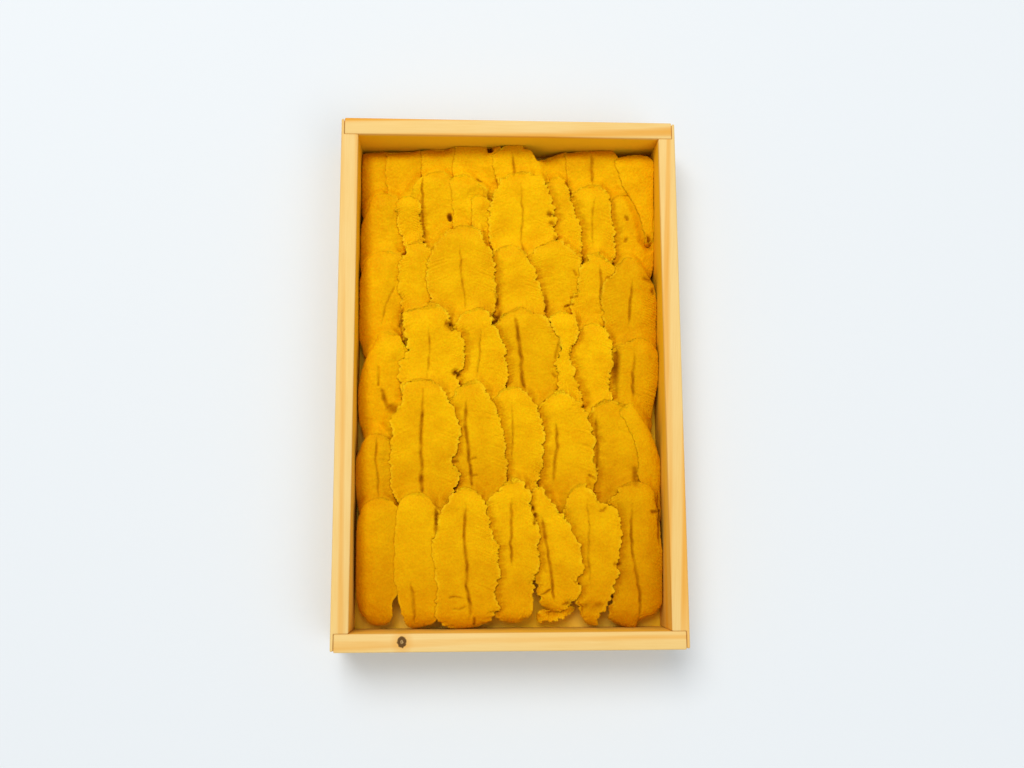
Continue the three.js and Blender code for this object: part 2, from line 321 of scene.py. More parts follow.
def wood(name, along, shift, streaks=0.5, slant=0.0, knot=None,
         stain=1.0, at_front=0.65, stained=STAINED_WOOD):
    """Pale sawn wood whose grain runs along X or Y, with a slant in radians.

    The inner faces are stained: stain is how evenly, and at_front how strongly at the front.
    """
    material, tree = new_tree(name)
    place = add(tree, "TexCoord").outputs["Object"]
    turn = (math.pi / 2 if along == "X" else 0.0) + slant
    turned_place = add(tree, "Mapping", {"Vector": place, "Rotation": (0, 0, turn), "Location": shift})
    squeezed = add(tree, "Mapping", {"Vector": turned_place.outputs["Vector"], "Scale": (1.0, ALONG, 1.0)})
    grain = squeezed.outputs["Vector"]
    rings = add(tree, "TexWave", {
        "Vector": grain, "Scale": 95, "Distortion": 3.2, "Detail": 2.5, "Detail Scale": 1.6,
        "Detail Roughness": 0.6}, bands_direction="DIAGONAL").outputs["Fac"]
    fibres = noise(tree, grain, 2300, 4, 0.6)
    uneven = noise(tree, grain, 170, 2)
    broad = noise(tree, place, 22, 2)
    colour = mix_colours(tree, remap(tree, broad, 0.35, 0.7, 0.0, 0.55), PALE_WOOD, WARM_WOOD)
    late = remap(tree, rings, 0.5, 0.95)
    patchy = remap(tree, uneven, 0.34, 0.52, 0.15 * streaks, streaks)
    colour = mix_colours(tree, maths(tree, "MULTIPLY", late, patchy), colour, STREAK_WOOD)
    colour = mix_colours(tree, 0.7, colour, ramp(tree, fibres, FIBRE_TONES), "MULTIPLY")
    if knot:
        share = knot_share(tree, place, *knot)
        ragged = maths(tree, "MULTIPLY_ADD", noise(tree, place, 1500, 2), 0.5, share)
        colour = mix_colours(tree, remap(tree, share, 2.6, 1.0, 0.0, 0.5), colour, KNOT_HALO)
        heart = ramp(tree, ragged, KNOT_HEART)
        colour = mix_colours(tree, remap(tree, ragged, 1.28, 1.12), colour, heart)
    soaked = remap(tree, broad, 0.4, 0.6, 2 * stain - 1, 1.0) if stain < 1 else 1.0
    stained_share = maths(tree, "MULTIPLY", inside_tray(tree, place, at_front), soaked)
    surface(tree, {
        "Base Color": mix_colours(tree, stained_share, colour, stained), "Roughness": 0.6,
        "Specular IOR Level": 0.2, "Specular Tint": WOOD_SHEEN, "Normal": bump(tree, fibres, 0.4, 0.1)})
    return material


print("wood in five tones, grain", round(1 / ALONG), "times longer than wide")

# %% [markdown]
# ## Boards cut and eased as a joiner would
#
# Each board could be a stretched cube, but a real side board is rabbeted: at each end the
# inside is cut back, so that only a thin lip covers the end board's end grain. So a side
# board starts as a flat rectangle, its plan. Bisecting it marks the two rabbets, the
# waste is deleted, and the rest is extruded up to the board's height. A Bevel modifier
# then takes the sharp arrises off, as sandpaper does.

# %% A plan, and raising it to a board
def plan(low, high, z):
    """A flat rectangle from its low to its high corner, in mm, open for editing."""
    select_only()
    middle = [(a + b) / 2 * MM for a, b in zip(low, high)]
    bpy.ops.mesh.primitive_plane_add(size=1, location=(*middle, z * MM))
    piece = bpy.context.object
    piece.scale = [(b - a) * MM for a, b in zip(low, high)] + [1]
    bpy.ops.object.transform_apply(location=True, rotation=True, scale=True)
    return piece


def cut_across(axis, place):
    """Bisect everything at one place along X or Y."""
    bpy.ops.mesh.select_all(action="SELECT")
    point = (place * MM, 0, 0) if axis == "X" else (0, place * MM, 0)
    normal = (1, 0, 0) if axis == "X" else (0, 1, 0)
    bpy.ops.mesh.bisect(plane_co=point, plane_no=normal)


def delete_where(piece, is_waste):
    bpy.ops.mesh.select_mode(type="FACE")
    bpy.ops.mesh.select_all(action="DESELECT")
    bpy.ops.object.mode_set(mode="OBJECT")
    for face in piece.data.polygons:
        face.select = is_waste(face.center / MM)
    bpy.ops.object.mode_set(mode="EDIT")
    bpy.ops.mesh.delete(type="FACE")


def raise_board(piece, height):
    bpy.ops.mesh.select_all(action="SELECT")
    bpy.ops.mesh.extrude_region_move(TRANSFORM_OT_translate={"value": (0, 0, height * MM)})
    bpy.ops.mesh.select_all(action="SELECT")
    bpy.ops.mesh.normals_make_consistent(inside=False)
    bpy.ops.object.mode_set(mode="OBJECT")
    apply_modifier(piece, "BEVEL", width=EASED * MM, segments=3, limit_method="ANGLE")
    select_only(piece)
    bpy.ops.object.shade_smooth_by_angle(angle=math.radians(35))


print("plans can be cut and raised")

# %% The two side boards
SIDE_FINISH = {-1: wood("left side wood", "Y", (0.01, 0.02, 0), 0.5),
               1: wood("right side wood", "Y", (0.31, 0.12, 0), 0.8, slant=0.06)}
for side, node in ((-1, "tray_side_left"), (1, "tray_side_right")):
    outer = TRAY_WIDTH / 2
    reach = TRAY_LENGTH / 2 - SIDE_SHORT
    across = sorted((side * outer, side * INNER_X))
    board = plan((across[0], -reach), (across[1], reach), FLOOR_BOARD)
    bpy.ops.object.mode_set(mode="EDIT")
    lip = side * (outer - RABBET_LIP)
    cut_across("X", lip)
    for end in (-1, 1):
        cut_across("Y", end * INNER_Y)
    delete_where(board, lambda c: abs(c.y) > INNER_Y and abs(c.x) < abs(lip))
    raise_board(board, INNER_DEPTH)
    board.data.materials.append(SIDE_FINISH[side])
    settle(board, node)
    print(node, len(board.data.polygons), "faces")

# %% The two end boards
KNOT = ((-36.3, -89.6), (1.6, 1.95))  # middle and half-sizes, mm
END_FINISH = {
    -1: wood("front end wood", "X", (0.55, 0.02, 0), 0.5, slant=0.012, knot=KNOT, stain=0.9, at_front=0.8),
    1: wood("back end wood", "X", (0.77, 0.15, 0), 1.0, slant=-0.006)}
for end, node in ((-1, "tray_end_front"), (1, "tray_end_back")):
    reach = TRAY_WIDTH / 2 - RABBET_LIP - JOINT
    along = sorted((end * TRAY_LENGTH / 2, end * (INNER_Y + JOINT / 3)))
    board = plan((-reach, along[0]), (reach, along[1]), FLOOR_BOARD)
    bpy.ops.object.mode_set(mode="EDIT")
    raise_board(board, INNER_DEPTH)
    board.data.materials.append(END_FINISH[end])
    settle(board, node)
    print(node, len(board.data.polygons), "faces")

# %% The floor board
board = plan((-TRAY_WIDTH / 2, -TRAY_LENGTH / 2), (TRAY_WIDTH / 2, TRAY_LENGTH / 2), 0)
bpy.ops.object.mode_set(mode="EDIT")
raise_board(board, FLOOR_BOARD - JOINT / 2)
# the floor takes the stain fully, painted brighter for the light bounced from the roe
floor_wood = wood("floor wood", "Y", (0.91, 0.4, 0), 0.6, stain=0.9, at_front=1.0, stained=SOAKED_AND_LIT_WOOD)
board.data.materials.append(floor_wood)
settle(board, "tray_floor")
print("tray_floor", len(board.data.polygons), "faces")

# %% [markdown]
# ## The roe's finish
#
# Fresh sea urchin roe is golden yellow, moist and faintly translucent. Light goes in,
# scatters, and comes out deeper and more orange, so the creases between tongues turn
# brown instead of grey. Subsurface scattering gives part of this, with a radius that is
# much longer for red than for blue, and painted shade gives the rest. The gloss is tinted
# yellow, because a white sheen would wash the colour out. Each tongue's own attribute,
# called marks, tells the finish where things are: red is the paler rim, the margin's
# lighter roe with a painted highlight on it; green is the painted shade in a crease; blue
# the painted shade beside what lies higher; and alpha how much painted shade darkens the
# whole tongue, more towards its tail.

# %% The roe
ROE_GOLD = (0.95, 0.525, 0.002, 1)
ROE_AMBER = (0.86, 0.42, 0.0015, 1)
# the margin's paler roe, with a painted highlight where a thin margin catches the light
ROE_RIM_HIGHLIGHT = (0.99, 0.64, 0.012, 1)
# painted shade in creases and holes, deeper as the green mark grows
ROE_CREASE_SHADE = [(0, (1, 1, 1, 1)), (0.5, (0.62, 0.49, 0.3, 1)), (1, (0.22, 0.1, 0.03, 1))]
# the tint of painted shade laid over a whole tongue
ROE_SHADE_TINT = (0.74, 0.61, 0.4, 1)
ROE_SHADE = (0.78, 0.63, 0.4, 1)
ROE_SPECKLE = [(0.36, (0.90, 0.84, 0.7, 1)), (0.58, (1, 1, 1, 1))]
ROE_SHEEN = (1.0, 0.7, 0.03, 1)


def roe(name, deep):
    material, tree = new_tree(name)
    place = add(tree, "TexCoord").outputs["Object"]
    marked = add(tree, "Attribute", attribute_name="marks")
    marks = add(tree, "SeparateColor", {"Color": marked.outputs["Color"]})
    patches = noise(tree, place, 130, 3)
    grain = noise(tree, place, 1500, 3, 0.6)
    colour = mix_colours(tree, remap(tree, patches, 0.35, 0.7), ROE_GOLD, ROE_AMBER)
    # the rim: paler roe with a painted highlight on it
    colour = mix_colours(tree, remap(tree, marks.outputs["Red"], 0, 1, 0, 0.65), colour, ROE_RIM_HIGHLIGHT)
    colour = mix_colours(tree, 0.7, colour, ramp(tree, grain, ROE_SPECKLE), "MULTIPLY")
    # painted shade over the whole tongue, and more of it in the shaded finish
    colour = mix_colours(tree, marked.outputs["Alpha"], colour, ROE_SHADE_TINT, "MULTIPLY")
    if deep:
        colour = mix_colours(tree, 0.2, colour, ROE_SHADE_TINT, "MULTIPLY")
    # painted shade in the creases
    colour = mix_colours(tree, 1.0, colour, ramp(tree, marks.outputs["Green"], ROE_CREASE_SHADE), "MULTIPLY")
    colour = mix_colours(tree, marks.outputs["Blue"], colour, ROE_SHADE, "MULTIPLY")
    surface(tree, {
        "Base Color": colour, "Roughness": 0.5, "Specular IOR Level": 0.25,
        "Specular Tint": ROE_SHEEN, "Subsurface Weight": 0.3, "Subsurface Radius": (1.0, 0.6, 0.1),
        "Subsurface Scale": 0.35 * MM, "Normal": bump(tree, grain, 0.9, 0.14)})
    return material


# roe_deep is the same roe under more painted shade
ROE_FINISH = {"roe": roe("golden roe", deep=False), "roe_deep": roe("shaded roe", deep=True)}
print("finishes:", ", ".join(ROE_FINISH))

# %% [markdown]
# ## How a tongue of roe is shaped
#
# One tongue is a long, flattened, soft body: round at its head and tail, a little flat on
# its back, with a fine furrow along it and frilled margins. It could be sculpted by
# hand, but forty-six of them, each with its own outline, are better described by a few
# measurements each: where its head, waist and tail lie, and how wide it is there. So
# every tongue starts as a sphere primitive whose poles become the head and the tail, and
# one function moves each vertex to its place.

# %% What all tongues share
RINGS, SEGMENTS = 160, 112  # of the sphere that a tongue starts as
BACK_SEGMENTS = 84  # how many of them go to the back, which is what shows
BACK_POWER, WALL_POWER, UNDER_POWER = 2.6, 2.0, 2.4  # 2 is an ellipse, more is flatter
EDGE_DROP = 0.6  # mm from the crown down to a margin beside a neighbour
WALL_DROP = 2.7  # and to one beside a wall
HEAD_DROP, HEAD_SLOPE = 3.2, 7.0  # how far a head comes down, and over what length
BRIM = 1.0  # mm that a margin is thin before the underside goes down
SHOULDER, FOOT = 0.16, 0.84  # where along it the first and last widths are taken
NOSE_ROUND, TAIL_ROUND, DIP_ROUND = 0.4, 0.34, 0.7
BACK_ROW_NOSE, BACK_ROW_SLOPE = 0.1, 6.0  # the back row's heads are squashed on the back board
BACK_ROW_DROPS = (6.6, 6.6, 5.0, 2.2, 1.4, 4.3, 5.6)  # and this is how far each comes down
TUCK = 3.6  # mm that a tongue goes on under a higher neighbour
SKIN = 0.4  # the least a tongue may be thick
SIDE_STEP, HEAD_STEP = 0.5, 0.06  # how far below a margin the surface beside it lies
LEFT_SHARE, SMOOTH_SHARE, MELTED_STEP = 0.1, 0.5, 0.05  # and how much less on some sides
PLAIN = (0.5, 0.5, 0)  # no dent along the middle
NOTHING = 99.0  # mm, stands for no neighbour, no underside or no crease

# crown under the rim at head and tail, thickness, in mm; each row lies on the next
ROWS = {
    "front": ((5.2, 12.2), 9.0),
    "second": ((5.5, 13.2), 8.6),
    "third": ((5.5, 13.2), 8.6),
    "fourth": ((5.6, 13.2), 8.6),
    "fifth": ((5.8, 13.4), 8.6),
    "back": ((8.8, 14.0), 8.6),
}

# head, waist, tail; widths at shoulder, waist and foot; lift above the row; furrow:
# how far across it lies at head and tail, and how deep; then crown and thickness if own
TONGUES = {
    "front": [
        [(-44, -42), (-45.1, -63), (-45.2, -85.6), (12.3, 12.8, 12), -0.6],
        [(-31.5, -40.4), (-32.9, -63), (-31.8, -86.4), (13.5, 14.9, 13), -0.1],
        [(-14.5, -38.5), (-16.1, -62.5), (-15.5, -86.7), (17, 23.3, 22), 0.6, (0.52, 0.54, 1.1)],
        [(0.5, -36.3), (2, -60), (0.8, -85), (15.5, 16.6, 14.5), 0.3, (0.44, 0.42, 0.7)],
        [(9.5, -38.4), (17, -60), (14, -80.6), (10.5, 16.6, 17), 0.1, (0.35, 0.4, 0.8)],
        [(24.3, -37.3), (31.3, -61), (28.4, -86), (15.5, 16.4, 7.5), -0.2, (0.4, 0.45, 0.8)],
        [(42.3, -36.6), (45.1, -61.5), (40.5, -86.7), (16, 16.4, 16.5), -0.6, (0.5, 0.55, 0.9)],
        [(23, -80), (16.5, -82), (9.6, -83.4), (4, 5, 4.6), 0, PLAIN, (14.2, 15.2), 5.0],
    ],
    "second": [
        [(-46.3, -19.5), (-46.5, -36), (-44.7, -52), (10.5, 12.5, 12), -0.6, (0.5, 0.5, 0.8)],
        [(-31.8, 0), (-29.7, -26), (-29.5, -52), (16, 25, 18), 0.6, (0.5, 0.45, 1.3)],
        [(-13.8, -1.3), (-10, -25), (-11, -49), (15, 18, 15), 0.2, (0.4, 0.25, 1)],
        [(0.8, -2.8), (4.7, -26), (3.5, -49), (14.5, 15.8, 11), 0, (0.45, 0.3, 0.7)],
        [(16, -5.3), (20.4, -27.5), (19.5, -50), (17, 19.9, 17), -0.2, (0.45, 0.3, 1)],
        [(33.3, -8), (38.2, -29), (38, -50), (14, 19.5, 15), -0.7],
        [(42.2, -8.8), (50.2, -31), (51, -51), (7.3, 7.8, 6), -0.3],
    ],
    "third": [
        [(-43, 16.7), (-45.1, -3), (-45, -23.5), (11.5, 14.5, 11), -0.5, (0.5, 0.5, 0.6)],
        [(-29, 25.8), (-27.6, 3), (-27, -19), (17.5, 22, 14), 0.6, (0.45, 0.45, 1)],
        [(-11.8, 25.5), (-8, 4), (-9.5, -17), (14.5, 19, 12), 0.2, (0.55, 0.35, 0.9)],
        [(2.8, 26), (9, 5.5), (8.5, -15), (15, 18.5, 13), -0.1, (0.48, 0.2, 1.3)],
        [(19, 24.4), (20, 4), (22, -17), (10.8, 6.8, 8), 0.5],
        [(30.2, 20.4), (29.6, 1), (31, -18), (12, 15.5, 12), 0.1],
        [(48, 15.2), (45, -2.5), (48, -20), (15.5, 17.3, 11), -0.7, (0.42, 0.45, 1.1)],
    ],
    "fourth": [
        [(-44.5, 46.5), (-44.8, 26), (-45.5, 6), (13, 14, 12), -0.8, (0.75, 0.5, 0.8)],
        [(-32.8, 50.2), (-33.6, 30.5), (-32, 11), (10, 13, 9.5), -0.3],
        [(-16, 56.2), (-17.2, 33.5), (-15, 11), (16.5, 25, 18), 0.6, (0.45, 0.52, 1)],
        [(0, 49), (3.4, 29), (5, 9), (14.5, 18.6, 13), 0.2],
        [(16.3, 51), (17.8, 34.5), (16.5, 18), (14, 17, 11), -0.2],
        [(32.5, 45.8), (28.5, 28.5), (30.5, 11), (11.5, 12.5, 8.5), -0.1, (0.6, 0.75, 0.7)],
        [(43.2, 44.8), (43.3, 24.5), (44.7, 4), (12.5, 20.4, 15), 0.3, (0.55, 0.5, 1)],
    ],
    "fifth": [
        [(-44.7, 68.3), (-45.1, 51), (-44.5, 33), (10.5, 15.5, 14), -0.7],
        [(-36.8, 67.2), (-36.4, 56), (-35, 42), (9.5, 9.8, 6), -0.1],
        [(-27, 76.6), (-26.2, 62), (-26.5, 43), (10, 11, 9), -0.2],
        [(-17, 75.4), (-16.5, 60), (-13.5, 46), (11, 11, 9), 0],
        [(-11, 68), (-9.8, 55), (-6.6, 43), (5.8, 6.6, 4.8), 0.02],
        [(3.5, 76.5), (4.5, 57), (6, 38), (19, 24.5, 17), 0.7, (0.5, 0.52, 0.7)],
        [(17, 75.1), (21, 56.5), (22, 38), (9.3, 12.3, 8.5), 0.1],
        [(30, 72.4), (32.4, 53.5), (32.5, 35), (13, 14, 10.5), -0.2, (0.4, 0.3, 0.6)],
        [(47, 85), (48.6, 70), (52, 51), (13.5, 9, 3.5), 0, (0.35, 0.3, 0.4), (8.3, 11.8), 8.6],
        [(41.5, 69.5), (45.2, 53), (45.5, 36), (11, 16.3, 13), -0.7],
    ],
    "back": [
        [(-48, 86.4), (-47.7, 69), (-47, 55), (11.5, 11.8, 9), -0.8],
        [(-38.2, 86.6), (-37.3, 71), (-36.8, 57), (14, 14, 10), -0.3],
        [(-25.5, 87.2), (-25, 75), (-24.5, 64), (13.4, 13.3, 9), -0.1],
        [(-11.8, 88), (-11.5, 76), (-11, 63.5), (16, 17, 11), 0.5],
        [(0.8, 88), (5.7, 75), (6.5, 62), (15, 19.3, 14), 1.8, (0.52, 0.4, 1.1)],
        [(15.6, 84.5), (19, 74), (19.5, 63), (13.5, 15, 10), -1],
        [(29.7, 87.6), (31.2, 74), (32, 61), (18.5, 21, 13), 0.7, (0.5, 0.5, 1.1)],
    ],
}
FAINT = 0.35  # how strongly a smooth tongue's margin shows, in its painted highlight and the painted shade beside it
ASIDE = {"front_8", "fifth_9"}  # these lie across others and are nobody's neighbour in the row
MELTED = {"fifth_4", "fifth_5", "fifth_9"}  # hardly a step at their margins, like the whole back row
SMOOTH = {  # hardly frilled, like the whole back row
    "front_1", "front_2", "second_1", "second_7", "third_1", "fourth_1", "fifth_1", "fifth_3",
    "fifth_4", "fifth_5", "fifth_9", "fifth_10", *(f"back_{i + 1}" for i in range(len(TONGUES["back"])))}
SHADED_FROM = 38  # tongues whose head lies further right get the finish with more painted shade
LIFT = 4  # a tongue's lift is the fifth of its measurements
TONGUE_SHADE = {  # how much painted shade darkens each tongue, from 0 to 1, and how much more at its tail
    "front": [0.55, 0.28, 0.25, 0.2, 0.12, 0.33, 0.62, 0],
    "second": [0.5, 0.15, 0.2, 0.08, 0.12, 0.42, 0.3],
    "third": [0.08, 0.05, 0.05, 0.3, 0, 0, 0.32],
    "fourth": [0.18, 0.15, 0.2, 0.08, 0.22, 0.15, 0.35],
    "fifth": [0.3, 0.08, 0.12, 0.05, 0, 0, 0.02, 0.12, 0, 0.05],
    "back": [0.4, 0.25, 0.15, 0, 0.1, 0.15, 0.22],
}
# painted shade towards the tails, strongest in the front rows
TAIL_SHADE = {"front": 0.45, "second": 0.45, "third": 0.18, "fourth": 0.05, "fifth": 0, "back": 0}
print(sum(len(row) for row in TONGUES.values()), "tongues in", len(TONGUES), "rows")


# %% Where the margins run
# A plain curve gives each side of a tongue; these points in mm pull its margin in or out,
# where one lobe swells over a neighbour, or a notch or a straight edge shows.
WALL = 53.85  # mm, just off the right board
MARGINS = {
    "front_1": [(-52.8, -50), (-53.2, -64), (-53.1, -76), (-52, -80.6), (-49.8, -83.2), (-40.6, -81.5),
        (-40.2, -77), (-39.8, -73)],
    "front_2": [(-38.6, -45), (-39.8, -52), (-40, -62), (-39.8, -70), (-38.5, -75), (-37.8, -79.5),
        (-36.6, -83.4), (-29, -41.3), (-27.4, -43.6), (-26, -46.8), (-25.2, -51), (-27, -85)],
    "front_3": [(-18.5, -39.6), (-21.5, -43), (-24, -45.6), (-24.9, -49), (-24.8, -52), (-27, -56),
        (-27.3, -62), (-27, -66.3), (-25.6, -68.6), (-25.5, -72), (-26.2, -76), (-25.4, -81),
        (-24.4, -84.6), (-11, -40.3), (-8.2, -43.5), (-7.6, -48), (-5.8, -52.5), (-4, -56), (-3.3, -61),
        (-3.7, -67), (-4.4, -72), (-4.7, -76), (-3.6, -79.5), (-5, -82.6), (-7, -85.2)],
    "front_4": [(-5.5, -40.5), (-3, -38), (4.5, -38.3), (6.8, -41), (7.4, -45), (8.3, -48), (8.8, -51),
        (10, -54), (10.2, -58), (10.4, -62), (9.8, -66), (9.2, -70), (8.9, -73.5), (8.6, -77), (7.9, -80.4),
        (6, -83)],
    "front_5": [(12, -40.4), (15, -43.2), (17, -46), (19.8, -49.3), (22.3, -53), (24.3, -57), (25, -61),
        (25.2, -66), (24, -70), (25, -72.5), (24.6, -75.5), (21, -78), (10.2, -76.5), (10.2, -79)],
    "front_6": [(20.3, -42), (21.2, -39.2), (26.6, -38.3), (28.5, -40.2), (31, -42.2), (34, -44.5),
        (37, -47), (39, -50.5), (39.5, -54), (39, -58), (38.6, -62), (37.5, -65.5), (37.8, -68),
        (36.5, -71.5), (35.8, -74), (35, -77), (33.9, -79.6), (31.6, -81.6), (30.6, -84), (23.4, -72),
        (23.1, -76.5), (24, -79.8), (25.4, -83)],
    "front_7": [(38.3, -72), (36, -76), (34.3, -79), (34.4, -82), (35.8, -85), (45, -84.6), (47.5, -83.4),
        (51, -82.2), (53.6, -79), (WALL, -70), (WALL, -62), (53.2, -56), (52.8, -50), (51.4, -43.6)],
    "second_1": [(-51, -22), (-53.6, -28), (-53.6, -42)],
    "second_2": [(-35.6, -1.4), (-37.7, -3.2), (-37.8, -7), (-38.8, -10.4), (-40.4, -12.8), (-41.4, -14.6),
        (-41.8, -18), (-42, -25), (-41.8, -32), (-41.3, -38), (-27, -0.9), (-24, -3), (-22, -5.5),
        (-20.5, -8.5), (-19.5, -12), (-18.3, -15), (-16.8, -18), (-17, -22), (-17.5, -25.5), (-19.8, -28.8),
        (-17.9, -31.5), (-17.4, -34.5), (-18.8, -38.5)],
    "second_3": [(-18.5, -4), (-10.5, -2.2), (-9, -5), (-7, -8.3), (-5, -10.5), (-4, -14), (-2.7, -17.5),
        (-2, -21), (-1.3, -26), (-0.3, -31), (-0.9, -35.5)],
    "second_4": [(-4.6, -6.5), (-3, -4), (5.3, -4.3), (7.8, -7.2), (9.8, -10), (10.9, -13.5), (12.5, -17),
        (12.5, -22), (11.7, -26), (11.9, -30), (11, -34), (10, -37)],
    "second_5": [(10.6, -9), (12.2, -6.4), (20, -6), (23.5, -7.8), (25.3, -10), (27.5, -12.5),
        (28.4, -15.5), (29.8, -18), (30.3, -22), (30, -26), (30.6, -30), (30.8, -35)],
    "second_7": [(39.6, -10.5), (40.3, -14), (42, -18), (44, -21.5), (45, -26), (45.6, -29.5), (45, -33.5),
        (44.4, -10), (46.5, -12.5), (49, -16.3), (51, -20), (52.5, -24), (WALL, -28), (WALL, -40),
        (WALL, -48)],
    "third_1": [(-46.8, 14), (-50, 9.5), (-52.5, 3), (-53.6, -4), (-53.6, -10), (-53, -16), (-39.5, 15.5),
        (-38.4, 12), (-38, 4), (-38, -6), (-38, -14)],
    "third_2": [(-33.5, 25.2), (-37.3, 23.8), (-38.4, 20), (-37.6, 16.5), (-36.2, 13.5), (-36.1, 10),
        (-37.2, 8), (-39.5, 5.5), (-40, 1), (-38.8, -4), (-24.5, 25.3), (-22.2, 23.2), (-21.6, 20.8),
        (-21.4, 18.6), (-18.3, 16.5), (-16.2, 13.5), (-15.5, 9), (-15.4, 5.5), (-17, 3.8), (-19.2, 2.2),
        (-18, 0), (-17, -4)],
    "third_3": [(-17.3, 21.5), (-15.5, 24.2), (-8.3, 24.8), (-6.4, 22.3), (-5.2, 19.5), (-3.2, 16),
        (-1.8, 13.5), (-0.4, 8), (0, 2), (-0.5, -3)],
    "third_4": [(-3.6, 22.4), (-1.8, 25), (6.6, 25.3), (9.2, 23.2), (11.4, 20), (13.5, 16.5), (15.4, 13),
        (19.5, 10), (20, 0)],
    "third_5": [(14.3, 20.5), (15.6, 23.4), (16.5, 16.5), (18, 13.5), (18.2, 11), (17, 8), (16.3, 5.5),
        (17.2, 2.5), (17, 0), (22.2, 23.8), (24.3, 20.7), (24.5, 17), (24.1, 12.5), (22.4, 9.8),
        (21.6, 7.5), (22.8, 5), (22.8, 1), (24.7, -1.5), (25.3, -4.5)],
    "third_6": [(26.2, 18.6), (25, 15), (33.6, 19), (35.8, 16), (36.9, 12), (37.2, 6), (36.7, 1),
        (35.5, -2.5), (37.4, -6)],
    "third_7": [(42.6, 13.8), (40.4, 11), (WALL, 9), (WALL, -2), (52.6, -8)],
    "fourth_1": [(-51.5, 43), (-53.6, 36), (-53.8, 27), (-53.8, 15)],
    "fourth_2": [(-37.2, 47.5), (-37.6, 45.3), (-39.5, 43.4), (-40.3, 38), (-39.9, 31), (-38.8, 26),
        (-39.5, 22), (-38.5, 18)],
    "fourth_3": [(-20.5, 55.2), (-24.5, 51.6), (-27, 48.6), (-28.7, 45), (-29.6, 42), (-29.6, 38),
        (-29, 33), (-28.4, 29), (-28.2, 26), (-12, 55.5), (-10.3, 52.5), (-8, 48.6), (-6.2, 45.6), (-5, 42),
        (-4.6, 38), (-4.2, 34), (-4.5, 29), (-5, 25)],
    "fourth_4": [(4.8, 48.3), (7, 45), (9.3, 41), (11, 37), (12.4, 33), (13.4, 29), (13.4, 24), (12.9, 20)],
    "fourth_5": [(9.5, 46), (11.5, 49), (20.2, 48), (22, 44.5), (23, 41.5)],
    "fourth_6": [(28.8, 43.6), (27, 41.6), (25.4, 39.6), (24.8, 36), (24.6, 32), (22.8, 29.9), (22.2, 27.3),
        (35.3, 44.8), (36.6, 42.5), (37, 40)],
    "fourth_7": [(40, 43.3), (38.2, 40.3), (36, 38), (34.4, 35.5), (33.7, 32), (32.9, 28.5), (33.4, 25),
        (33.4, 22), (47, 42.5), (50.4, 39), (52.8, 35), (WALL, 30), (WALL, 20), (WALL, 10)],
    "fifth_1": [(-50.8, 63), (-53.4, 57), (-53.8, 48), (-53.6, 40)],
    "fifth_2": [(-41.2, 63), (-40.8, 57), (-39.2, 53), (-38, 50.6), (-37.4, 47), (-31.8, 64), (-31.4, 57),
        (-30.9, 51)],
    "fifth_3": [(-31, 74), (-31.6, 69)],
    "fifth_4": [(-20.6, 68), (-20.2, 62), (-20.2, 57), (-20.2, 52)],
    "fifth_6": [(-1, 75), (-3.5, 72.4), (-5.4, 68), (-7.2, 64), (-7.6, 58), (-7.2, 52), (8.5, 75.5),
        (11.5, 73.8), (13.8, 71.3), (15.2, 68), (16.3, 64.5), (16.4, 62), (15.6, 60.8), (17.2, 59),
        (16.8, 55.5), (17.6, 53)],
    "fifth_7": [(19.8, 74.2), (21.3, 71.5), (22.4, 68), (23.7, 63), (24.6, 59.5), (26.8, 55.5), (27, 50),
        (26.4, 45)],
    "fifth_8": [(26, 71.8), (24.6, 69.6), (34.4, 71.6), (36.6, 69), (37.8, 65), (38.6, 60), (39.3, 54),
        (39.6, 48)],
    "fifth_9": [(40, 83), (40.6, 78), (41.8, 73), (44, 69.3), (46.5, 65.5), (48.8, 61), (50, 57),
        (51.2, 53.5), (WALL, 82), (WALL, 72), (WALL, 62), (53.8, 54)],
    "fifth_10": [(WALL, 64), (WALL, 52), (WALL, 42)],
    "back_1": [(-53.8, 80), (-53.8, 70), (-53.8, 62)],
    "back_5": [(-5.4, 85.6), (-6.3, 82.5), (-6.2, 79), (-5, 76), (5.5, 86.2), (8.3, 85.2), (10.3, 82.5),
        (12.3, 79.5), (14.3, 76.5), (15, 74)],
    "back_6": [(9.4, 82), (9.2, 79)],
    "back_7": [(20.8, 83.5), (21, 80), (21.6, 77), (41, 84), (44, 80), (45, 74), (45, 68)],
}
print(sum(len(points) for points in MARGINS.values()), "points on", len(MARGINS), "tongues' margins")


# %% Curves and soft random hills
def through(values, share):
    """A curve through three values, at 0, a half and 1."""
    first, middle, last = values
    bend = 2 * (first + last) - 4 * middle
    return first + (last - first - bend) * share + bend * share ** 2


def rounded(distance, length):
    """0 at the very end and 1 from one rounding length in, along a quarter ellipse."""
    left = np.clip(1 - distance / length, 0, 1)
    return np.sqrt(1 - left * left)


def sloped(distance, length):
    """0 at the very end and 1 from one length in, rising at once but never steeply."""
    return 1 - np.clip(1 - distance / length, 0, 1) ** 2


def ease(value, low, high):
    place = np.clip((value - low) / (high - low), 0, 1)
    return place * place * (3 - 2 * place)


def hills(x, y, pitch, seed):
    """Smooth random heights between -1 and 1, about one hill to every pitch."""
    side = 64  # the hills repeat after this many
    knots = np.random.default_rng(seed).uniform(-1, 1, (side, side))
    u, v = x / pitch, y / pitch
    i, j = np.floor(u).astype(int), np.floor(v).astype(int)
    su, sv = ease(u - i, 0, 1), ease(v - j, 0, 1)
    near = knots[i % side, j % side] * (1 - su) + knots[(i + 1) % side, j % side] * su
    far = knots[i % side, (j + 1) % side] * (1 - su) + knots[(i + 1) % side, (j + 1) % side] * su
    return near * (1 - sv) + far * sv


print("a hill of", round(float(hills(np.array(0.5), np.array(0.5), 1.0, 1)), 2))

# %% [markdown]
# The margins are frilled because the roe is built of small lobes that lie side by side
# along its length, each a millimetre or so wide. A row of rounded lobes with sharp
# notches between them is the size of a sine wave, so the same wave scallops the outline
# and, running inward from it and fading, ridges the back.

